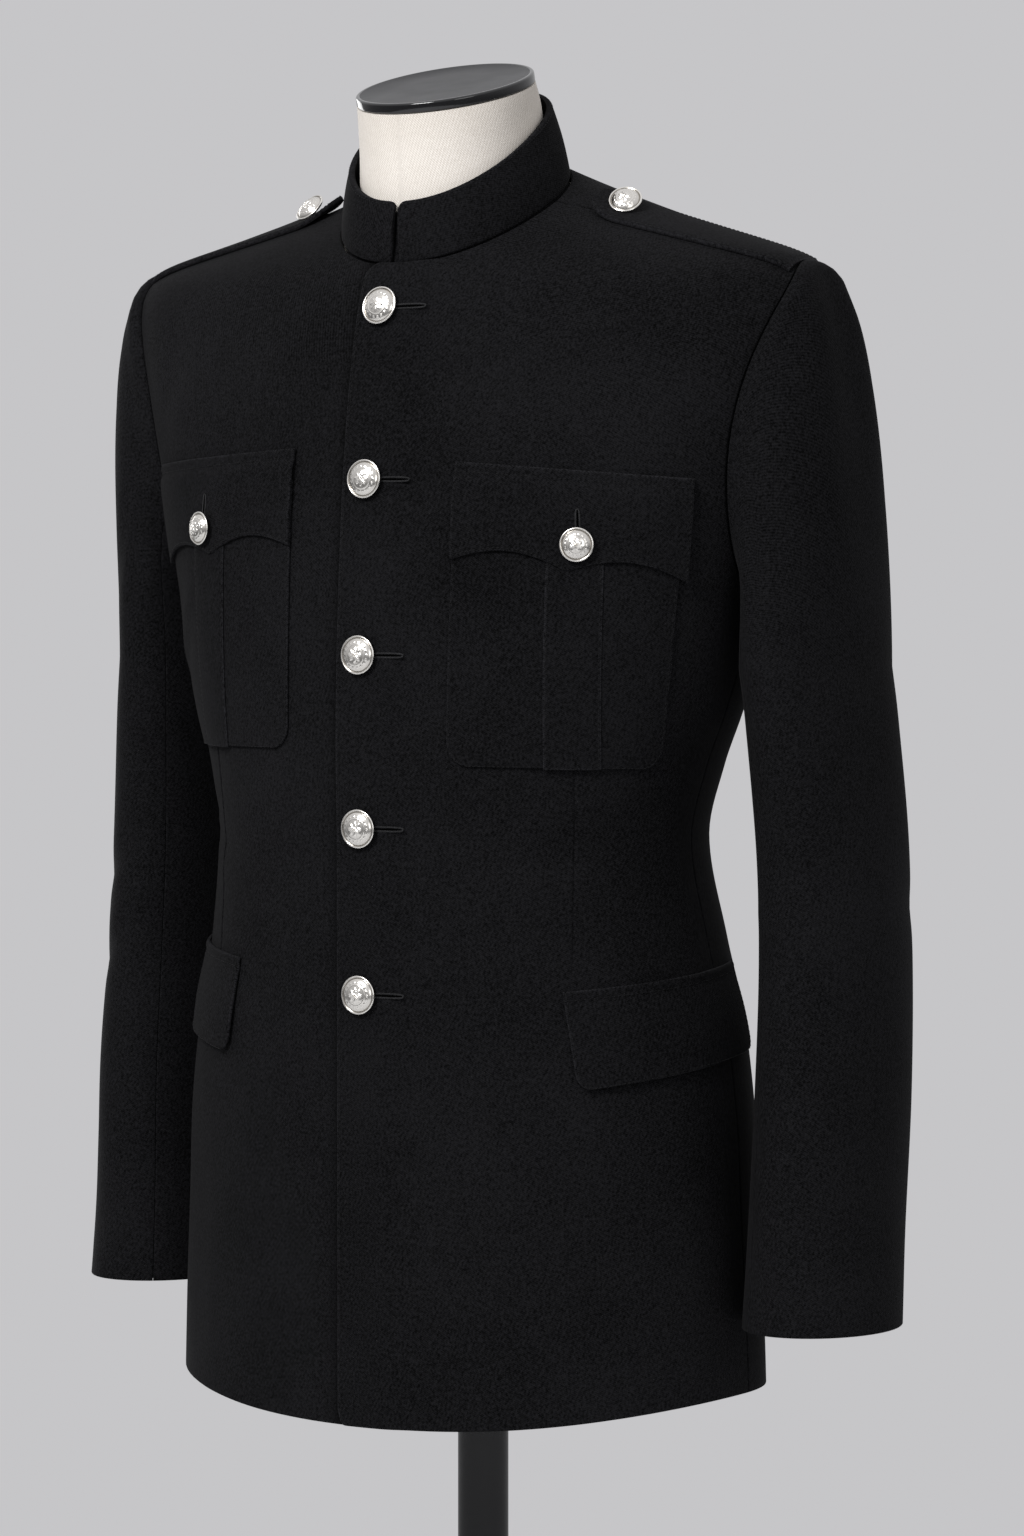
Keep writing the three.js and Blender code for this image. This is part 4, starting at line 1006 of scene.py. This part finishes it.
def form_rings():
    phi = np.linspace(0, 2 * pi, 160, endpoint=False)
    rows = []
    for z in np.linspace(FORM["bottom"], 1150, 60):
        v = (z - hem_level(phi)) / (ARMPIT - hem_level(phi))
        rows.append(body(phi, v) - body_normal(phi, v) * FORM["inset"])
        rows[-1][:, 2] = z
    for s in np.linspace(0, 0.92, 60):
        v = np.full(phi.shape, 1 + s)
        at_shoulder = np.exp(-((np.abs(np.sin(phi)) - 1) / 0.05) ** 2)
        along = np.clip((s - 0.55) / 0.11, 0, 1) * (1 - np.clip((s - 0.82) / 0.12, 0, 1))
        inset = FORM["inset"] + (2.9 - FORM["inset"]) * at_shoulder * along
        rows.append(body(phi, v) - body_normal(phi, v) * inset[:, None])
    foot = drawn_in(NECK_RING, phi, 9.5, 4)
    head = drawn_in(COLLAR_TOP, phi, 6.5, 0)
    around = np.stack([np.sin(phi), -np.cos(phi) * cos(NECK_TILT), -np.cos(phi) * sin(NECK_TILT)], -1)
    top = np.array([0, FORM["neck_y"], FORM["neck_z"]]) + FORM["neck_radius"] * around
    knots = [rows[-1], foot, head, top]
    for i in range(1, 3):
        a, b, c, d = knots[i - 1], knots[i], knots[i + 1], knots[min(i + 2, 3)]
        for t in np.linspace(0, 1, 16, endpoint=(i == 2)):
            slope_b = (c - a) / 2
            slope_c = (d - b) / 2
            rows.append((2 * t**3 - 3 * t**2 + 1) * b + (t**3 - 2 * t**2 + t) * slope_b
                        + (3 * t**2 - 2 * t**3) * c + (t**3 - t**2) * slope_c)
    return np.array(rows), phi


def dress_form():
    rows, phi = form_rings()
    n = len(phi)
    seam = np.exp(-((np.minimum(phi, 2 * pi - phi)) / 0.012) ** 2)
    centre = rows.mean(axis=1, keepdims=True)
    rows = rows + (centre - rows) * (seam * 0.012)[None, :, None]
    points = rows.reshape(-1, 3) * MM
    mesh = bpy.data.meshes.new("linen_form")
    mesh.from_pydata(points.tolist(), [], tube_faces(len(rows), n))
    uv = mesh.uv_layers.new(name="cloth")
    girth = phi * NECK_GIRTH_RADIUS
    for polygon in mesh.polygons:
        for loop in polygon.loop_indices:
            vertex = mesh.loops[loop].vertex_index
            uv.data[loop].uv = (girth[vertex % n], points[vertex][2])
    mesh.shade_smooth()
    mesh.set_sharp_from_angle(angle=radians(50))
    mesh.materials.append(LINEN)
    return put_in("linen_form", mesh, "form_torso")


print("dress form:", len(dress_form().data.polygons), "faces")

# %% Cap, pole and base


def turned_piece(name, node, profile, place, tilt, materials, sides=160):
    """A turned part: a profile of radius and height, spun, tilted about X and set in place."""
    around = np.arange(sides) * 2 * pi / sides
    rows = [np.stack([r * np.cos(around), r * np.sin(around), h + 0 * around], -1)
            for r, h in profile]
    points = np.array(rows).reshape(-1, 3)
    points = points @ np.array(Matrix.Rotation(tilt, 3, "X")).T + np.array(place)
    mesh = bpy.data.meshes.new(name)
    mesh.from_pydata((points * MM).tolist(), [], tube_faces(len(rows), sides))
    mesh.shade_smooth()
    mesh.set_sharp_from_angle(angle=radians(40))
    for material in materials:
        mesh.materials.append(material)
    return put_in(name, mesh, node)


def rounded(radius, low, high, bend, count=7):
    """The profile of a disc or rod whose two rims are rounded."""
    a = np.linspace(0, pi / 2, count)
    foot = [(radius - bend + bend * sin(x), low + bend - bend * cos(x)) for x in a]
    head = [(radius - bend + bend * cos(x), high - bend + bend * sin(x)) for x in a]
    return [(radius * 0.5, low), *foot, *head]


CAP = dict(radius=56, thick=6.5, edge=1.4, rim=2.2, sunk=0.15)
POLE = dict(radius=16, foot=34.3, edge=0.8)
BASE_PROFILE = [  # radius and height: rim, shallow dome, collar round the pole
    (90, 0), (178.5, 0), (179.6, 0.6), (180, 1.6), (180, 4.8), (179.2, 6.6), (176, 8.0), (150, 9.2),
    (100, 11.0), (50, 12.8), (36, 13.9), (28, 16.2), (24.4, 19), (23.2, 24), (22.6, 31),
    (22.0, 33.2), (20.8, 34), (10, 34)]
face_level = CAP["thick"] - CAP["sunk"]
face_radius = CAP["radius"] - CAP["rim"]
cap_profile = [*rounded(CAP["radius"], 0, CAP["thick"], CAP["edge"]), (face_radius, CAP["thick"]),
               (face_radius - 0.2, face_level), (CAP["radius"] / 2, face_level), (1, face_level)]
neck_top = Vector((0, FORM["neck_y"], FORM["neck_z"]))
cap = turned_piece("turned_neck_cap", "neck_cap", cap_profile, neck_top + Vector((0, 0, 0.3)),
                   NECK_TILT, (GLOSS, SATIN))
for polygon in cap.data.polygons:
    at_top = polygon.normal.z > 0.9 and polygon.center.z > (FORM["neck_z"] - 20) * MM
    nearest = min((cap.data.vertices[v].co - neck_top * MM).length for v in polygon.vertices)
    polygon.material_index = 1 if at_top and nearest < (CAP["radius"] - 1.9) * MM else 0
pole_profile = rounded(POLE["radius"], POLE["foot"], FORM["bottom"] - 0.3, POLE["edge"])
turned_piece("turned_pole", "pole", pole_profile, (0, 0, 0), 0, (GLOSS,))
turned_piece("turned_base", "base", BASE_PROFILE, (0, 0, 0), 0, (GLOSS,))
print("cap's faces in satin:", sum(p.material_index for p in cap.data.polygons))

# %% [markdown]
# ## Turnings inside the seams
# Every seam has its turnings pressed open inside, and they close the gap between two
# turned edges against the light. They are thin strips that follow the seams' lines, a
# little under the cloth's inner face. The neck's strip stands higher behind the
# collar's opening, as the tongue behind a hook does.

# %% Seam turnings


def strip(points, across, depth, low, high, thick=0.35):
    """A thin wall along a line: it reaches from low to high across it, depth mm under it."""
    across, depth = unit(across), unit(depth)
    corners = [(low, 0), (high, 0), (high, thick), (low, thick)]
    return [points + across * a + depth * d for a, d in corners]


def turnings(name, strips):
    points, faces = [], []
    for ribbon, closed in strips:
        n = len(ribbon[0])
        first = len(points)
        for side in ribbon:
            points.extend((side * MM).tolist())
        for i in range(n if closed else n - 1):
            j = (i + 1) % n
            for k in range(4):
                m = (k + 1) % 4
                low, high = first + k * n, first + m * n
                faces.append((low + i, low + j, high + j, high + i))
        if not closed:
            faces.append(tuple(first + k * n for k in range(4)))
            faces.append(tuple(first + k * n + n - 1 for k in (3, 2, 1, 0)))
    mesh = bpy.data.meshes.new(name)
    mesh.from_pydata(points, [], faces)
    work = bmesh.new()
    work.from_mesh(mesh)
    bmesh.ops.recalc_face_normals(work, faces=work.faces)
    work.to_mesh(mesh)
    work.free()
    uv = mesh.uv_layers.new(name="cloth")
    for loop, corner in zip(mesh.loops, uv.data):
        spot = mesh.vertices[loop.vertex_index].co
        corner.uv = (spot.x + spot.y, spot.z)
    mesh.materials.append(WOOL)
    print(name, len(mesh.polygons), "faces")
    return put_in(name, mesh)


def body_strip(phi, v, sign, half=7.0, under=CLOTH + 0.12):
    """A strip under a seam of the body, whose line has places phi and v."""
    points, normals = body(phi, v), body_normal(phi, v)
    along = np.gradient(points, axis=0)
    flip = np.array([sign, 1, 1])
    ribbon = strip(points - normals * under, np.cross(normals, along), -normals, -half, half)
    return [side * flip for side in ribbon], False


ribbons = []
for sign in (1, -1):
    low_v = np.linspace(0.01, 0.985, 60)
    ribbons.append(body_strip(np.full(60, SIDE_SEAM), low_v, sign))
    t = np.linspace(0.03, 0.93, 30)
    shoulder_phi, shoulder_v = TOP_PHI + (NECK_PHI - TOP_PHI) * t, TOP_V + (2 - TOP_V) * t
    ribbons.append(body_strip(shoulder_phi, shoulder_v, sign, 5.0, CLOTH + 0.08))
    place, normal, outward = armhole_frame(np.arange(0, 360, 4.0))
    into = strip(place - normal * (CLOTH + 0.3), outward, -normal, -3.5, 6.0)
    ribbons.append(([side * np.array([sign, 1, 1]) for side in into], True))
    sleeve_t = np.concatenate([np.linspace(0.12, 0.95, 24), np.linspace(1, 6.97, 50)])
    for seam in SLEEVE_SEAMS:
        grid = sleeve_grid(np.array([seam - 1.5, seam, seam + 1.5]), sleeve_t)
        ways = grid_normals(grid)[:, 1]
        ribbon = strip(grid[:, 1] - ways * (CLOTH + 0.3), grid[:, 2] - grid[:, 0], -ways, -6, 6)
        ribbons.append(([side * np.array([sign, 1, 1]) for side in ribbon], False))
ribbons.append(body_strip(np.full(90, pi), np.linspace(0.01, 1.97, 90), 1))
phi = np.radians(np.arange(0, 360, 3.0))
inward = -body_normal(phi, np.full(phi.shape, 1.999))
neck_line = ring(NECK_RING, phi)
standing = ring(COLLAR_TOP, phi) - neck_line
level_in = unit(inward * np.array([1, 1, 0]))
behind_gap = 26 * np.exp(-(np.abs((np.degrees(phi) + 180) % 360 - 180) / 7) ** 4)[:, None]
ribbons.append((strip(neck_line + level_in * (COLLAR["thick"] + 0.9), standing, level_in,
                      -4.0, 7.0 + behind_gap), True))
turnings("seam_turnings", ribbons)

# %% [markdown]
# ## Stitching
# Rows of stitches follow the edges of flaps, pockets and the front. Geometry Nodes lay
# them: a path is resampled at the stitch's pitch, and each point gets a small grain of
# thread that lies along a direction stored on the path.

# %% Stitch tree


def stitch_tree():
    tree = bpy.data.node_groups.new("stitches", "GeometryNodeTree")
    face = tree.interface
    face.new_socket(name="Paths", in_out="INPUT", socket_type="NodeSocketGeometry")
    for label, value in (("Pitch", 0.003), ("Length", 0.0022), ("Thickness", 0.00045)):
        face.new_socket(name=label, in_out="INPUT", socket_type="NodeSocketFloat").default_value = value
    face.new_socket(name="Thread", in_out="INPUT", socket_type="NodeSocketMaterial")
    face.new_socket(name="Stitches", in_out="OUTPUT", socket_type="NodeSocketGeometry")
    start, end = tree.nodes.new("NodeGroupInput"), tree.nodes.new("NodeGroupOutput")
    curve = tree.nodes.new("GeometryNodeMeshToCurve")
    resample = tree.nodes.new("GeometryNodeResampleCurve")
    resample.mode = "LENGTH"
    grain = tree.nodes.new("GeometryNodeMeshUVSphere")
    grain.inputs["Segments"].default_value = 6
    grain.inputs["Rings"].default_value = 4
    grain.inputs["Radius"].default_value = 0.5
    lie = tree.nodes.new("GeometryNodeInputNamedAttribute")
    lie.data_type = "FLOAT_VECTOR"
    lie.inputs["Name"].default_value = "lie"
    align = tree.nodes.new("FunctionNodeAlignRotationToVector")
    align.axis = "Z"
    size = tree.nodes.new("ShaderNodeCombineXYZ")
    place = tree.nodes.new("GeometryNodeInstanceOnPoints")
    realize = tree.nodes.new("GeometryNodeRealizeInstances")
    paint = tree.nodes.new("GeometryNodeSetMaterial")
    link = tree.links.new
    link(start.outputs["Paths"], curve.inputs[0])
    link(curve.outputs[0], resample.inputs["Curve"])
    link(start.outputs["Pitch"], resample.inputs["Length"])
    link(lie.outputs[0], align.inputs["Vector"])
    for axis, label in enumerate(("Thickness", "Thickness", "Length")):
        link(start.outputs[label], size.inputs[axis])
    link(resample.outputs[0], place.inputs["Points"])
    link(grain.outputs[0], place.inputs["Instance"])
    link(align.outputs[0], place.inputs["Rotation"])
    link(size.outputs[0], place.inputs["Scale"])
    link(place.outputs[0], realize.inputs[0])
    link(realize.outputs[0], paint.inputs["Geometry"])
    link(start.outputs["Thread"], paint.inputs["Material"])
    link(paint.outputs[0], end.inputs[0])
    return tree


stitches = stitch_tree()


def sew(name, paths, pitch, length, thickness, material):
    """paths is a list of (points, directions) in mm; the result is one plain mesh."""
    points, edges, lies = [], [], []
    for line, way in paths:
        first = len(points)
        points.extend((np.asarray(line) * MM).tolist())
        lies.extend(np.asarray(way).tolist())
        edges.extend((first + i, first + i + 1) for i in range(len(line) - 1))
    mesh = bpy.data.meshes.new(name)
    mesh.from_pydata(points, edges, [])
    lie = mesh.attributes.new("lie", "FLOAT_VECTOR", "POINT")
    lie.data.foreach_set("vector", np.array(lies).ravel())
    path = bpy.data.objects.new(f"{name}_path", mesh)
    bpy.context.collection.objects.link(path)
    modifier = path.modifiers.new("stitches", "NODES")
    modifier.node_group = stitches
    for item in stitches.interface.items_tree:
        values = {"Pitch": pitch, "Length": length, "Thickness": thickness, "Thread": material}
        if item.in_out == "INPUT" and item.name in values:
            modifier[item.identifier] = values[item.name]
    sewn = bpy.data.meshes.new_from_object(path.evaluated_get(bpy.context.evaluated_depsgraph_get()))
    bpy.data.objects.remove(path)
    sewn.name = name
    sewn.shade_smooth()
    print(f"{name}: {len(sewn.polygons)} faces")
    return put_in(name, sewn)


def along_edge(name, side, inset):
    """A path on a piece's outer face, inset mm from one edge: low, top, first or last."""
    item = made[name]
    outer, normals = item["outer"], item["normals"]
    axis = 0 if side in ("low", "top") else 1
    lengths = lengths_along(outer, axis)
    if side in ("top", "last"):
        lengths = np.take(lengths, [-1], axis=axis) - lengths
    grid = np.moveaxis(np.concatenate([outer, normals, lengths[..., None]], -1), axis, 0)
    if side in ("top", "last"):
        grid = grid[::-1]
    line = np.array([[np.interp(inset, column[:, 6], column[:, k]) for k in range(6)]
                     for column in np.moveaxis(grid, 1, 0)])
    points = line[:, :3] + line[:, 3:] * 0.12
    return points, unit(np.gradient(points, axis=0))


def trimmed(path, start, end):
    points, ways = path
    run = np.concatenate([[0], np.cumsum(np.linalg.norm(np.diff(points, axis=0), axis=1))])
    keep = (run > start) & (run < run[-1] - end)
    return points[keep], ways[keep]


rows = []
for side in ("left", "right"):
    for edge in ("low", "first", "last"):
        rows.append(trimmed(along_edge(f"{side} breast flap", edge, 2.2), 2, 2))
        rows.append(trimmed(along_edge(f"{side} hip flap", edge, 2.2), 2, 2))
        rows.append(trimmed(along_edge(f"{side} breast pocket", edge, 2.0), 2, 2))
    rows.append(trimmed(along_edge(f"{side} breast flap", "top", 6.5), 1, 1))
    rows.append(trimmed(along_edge(f"{side} hip flap", "top", 6.5), 1, 1))
    for edge in ("first", "last"):
        rows.append(trimmed(along_edge(f"{side} pocket pleat", edge, 1.6), 2, 2))
        rows.append(trimmed(along_edge(f"{side} shoulder strap", edge, 2.4), 3, 3))
rows.append(trimmed(along_edge("left front", "first", 3.0), 6, 6))
for edge in ("top", "first", "last"):
    rows.append(trimmed(along_edge("stand collar", edge, 3.0), 4, 4))
sew("edge_stitching", rows, 0.0030, 0.0022, 0.00042, THREAD)


def buttonhole(centre, along, across, length):
    """Purl stitches side by side round a slit, lying across it."""
    a = np.linspace(0, 2 * pi, 90)
    long_way = signed_power(np.cos(a), 0.6) * length / 2
    wide_way = signed_power(np.sin(a), 0.9) * 1.25
    points = centre + long_way[:, None] * along + wide_way[:, None] * across
    ends = np.clip(np.abs(np.cos(a)) - 0.93, 0, 1)[:, None] * 14
    return points, unit(across + along * ends)


# The line of a slit, where near-black grains stand in as painted shadow.
def slit(centre, along, length):
    line = centre + np.linspace(-0.42, 0.42, 12)[:, None] * length * along
    return line, np.repeat(along[None, :], 12, axis=0)


LONG_HOLE, SHORT_HOLE = 23, 17
holes, slits = [], []
for z in BUTTON_LEVELS:
    v = float(v_at_height(0.0, z))
    phi = float(phi_at_x(19.0, v))
    normal = body_normal(phi, v)
    along = unit(body(phi + 0.01, v) - body(phi - 0.01, v))
    centre = body(phi, v) + normal * (LAP_LIFT * 0.93 + 0.15)
    holes.append(buttonhole(centre, along, np.cross(normal, along), LONG_HOLE))
    slits.append(slit(centre, along, LONG_HOLE))
for side, sign in (("left", 1), ("right", -1)):
    flip = np.array([sign, 1, 1])
    moved = AS_WORN[side]["breast"]
    phi, v = place_at(POCKET_BUTTON[0] + moved[0], POCKET_BUTTON[1] + 13 + moved[1])
    normal = body_normal(phi, v)
    across = unit(body(phi + 0.01, v) - body(phi - 0.01, v))
    centre, upward = body(phi, v) + normal * 5.0, np.cross(normal, across)
    hole, gap = buttonhole(centre, upward, across, SHORT_HOLE), slit(centre, upward, SHORT_HOLE)
    holes.append((hole[0] * flip, hole[1] * flip))
    slits.append((gap[0] * flip, gap[1] * flip))
sew("buttonholes", holes, 0.00050, 0.0014, 0.0006, PURL)
# Painted shadow: near-black grains down each slit.
sew("buttonhole_slit_shadows", slits, 0.0010, 0.0018, 0.0011, SLIT_SHADOW)

# %% [markdown]
# ## Riding
# Every piece rides on the one body.

# %% Attach
for name, item in made.items():
    piece = item["piece"]
    piece.name = name.replace(" ", "_")
    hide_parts(item["node"])
    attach(piece, BODY)
for name, item in made.items():
    side = name.split()[0]
print("sheets declared:", len(made))

# %% [markdown]
# ## Floor, light and camera
# A near-black cloth is read by its edges and soft shadows. A key from high in front
# gives flaps and buttons a shadow below them, and a fill and a low rim lift the sides.
# Light rays that the camera doesn't see find a room that is dark below and bright
# above, which gives the silver its contrast, while the backdrop stays one pale grey.

# %% Stage
floor_mesh = bpy.data.meshes.new("floor")
FLOOR_RADIUS, FLOOR_LEVEL, FLOOR_SIDES = 3.0, -0.0005, 96
floor_angles = np.linspace(0, 2 * pi, FLOOR_SIDES, endpoint=False)
floor_ring = [(FLOOR_RADIUS * cos(a), FLOOR_RADIUS * sin(a), FLOOR_LEVEL) for a in floor_angles]
floor_mesh.from_pydata(floor_ring, [], [tuple(range(FLOOR_SIDES))])
floor_material, _, floor_shader = principled("pale floor", Roughness=0.8)
floor_shader.inputs["Base Color"].default_value = (0.6, 0.605, 0.615, 1)
floor_mesh.materials.append(floor_material)
floor = bpy.data.objects.new("floor", floor_mesh)
bpy.context.collection.objects.link(floor)
print("floor radius, m:", FLOOR_RADIUS)

# %% Room and lights
world = bpy.data.worlds.new("studio")
world.use_nodes = True
sky = world.node_tree
backdrop = sky.nodes["Background"]
backdrop.inputs["Color"].default_value = (0.566, 0.563, 0.577, 1)
room = add_node(sky, "ShaderNodeBackground", Strength=1.0)
direction = add_node(sky, "ShaderNodeTexCoord")
height = add_node(sky, "ShaderNodeSeparateXYZ")
room_ramp = add_node(sky, "ShaderNodeValToRGB")
stops = room_ramp.color_ramp.elements
for position in (0.4, 0.6):
    stops.new(position)
for stop, level in zip(stops, (0.04, 0.16, 0.5, 0.75)):
    stop.color = (level, level, level * 1.02, 1)
seen = add_node(sky, "ShaderNodeLightPath")
mix = add_node(sky, "ShaderNodeMixShader")
upward = maths(sky, "MULTIPLY_ADD", height.outputs[2], 0.5, 0.5)
sky.links.new(direction.outputs["Generated"], height.inputs[0])
sky.links.new(upward, room_ramp.inputs[0])
sky.links.new(room_ramp.outputs[0], room.inputs["Color"])
sky.links.new(seen.outputs["Is Camera Ray"], mix.inputs[0])
sky.links.new(room.outputs[0], mix.inputs[1])
sky.links.new(backdrop.outputs[0], mix.inputs[2])
sky.links.new(mix.outputs[0], sky.nodes["World Output"].inputs["Surface"])
bpy.context.scene.world = world
bpy.context.scene.view_settings.view_transform = "Standard"


def softbox(name, place, aim, size, power):
    light = bpy.data.lights.new(name, "AREA")
    light.shape = "RECTANGLE"
    light.size, light.size_y = size
    light.energy = power
    lamp = bpy.data.objects.new(name, light)
    lamp.location = place
    lamp.rotation_euler = (Vector(aim) - Vector(place)).to_track_quat("-Z", "Y").to_euler()
    bpy.context.collection.objects.link(lamp)
    return lamp


softbox("key", (-0.3, -3.0, 3.3), (0, 0, 1.2), (1.3, 1.1), 92)
softbox("fill", (3.4, -2.6, 1.9), (0, 0, 1.2), (1.8, 2.0), 20)
softbox("rim", (-3.0, 1.6, 1.5), (0, 0, 1.0), (1.2, 1.8), 16)
print("lights:", [light.name for light in bpy.data.lights])

# %% Camera
VIEW_TURN, DISTANCE, EYE = radians(32), 3.8, 1.245
PITCH, YAW = radians(-2.9714), radians(0.27555)
FOCAL = 141.328
lens = bpy.data.cameras.new("camera")
lens.lens = FOCAL
lens.sensor_width = 36
camera = bpy.data.objects.new("camera", lens)
camera.location = (DISTANCE * sin(VIEW_TURN), -DISTANCE * cos(VIEW_TURN), EYE)
heading = VIEW_TURN - YAW
ahead = Vector((-sin(heading) * cos(PITCH), cos(heading) * cos(PITCH), sin(PITCH)))
camera.rotation_euler = ahead.to_track_quat("-Z", "Y").to_euler()
bpy.context.collection.objects.link(camera)
bpy.context.scene.camera = camera
print("camera at, m:", [round(c, 3) for c in camera.location])
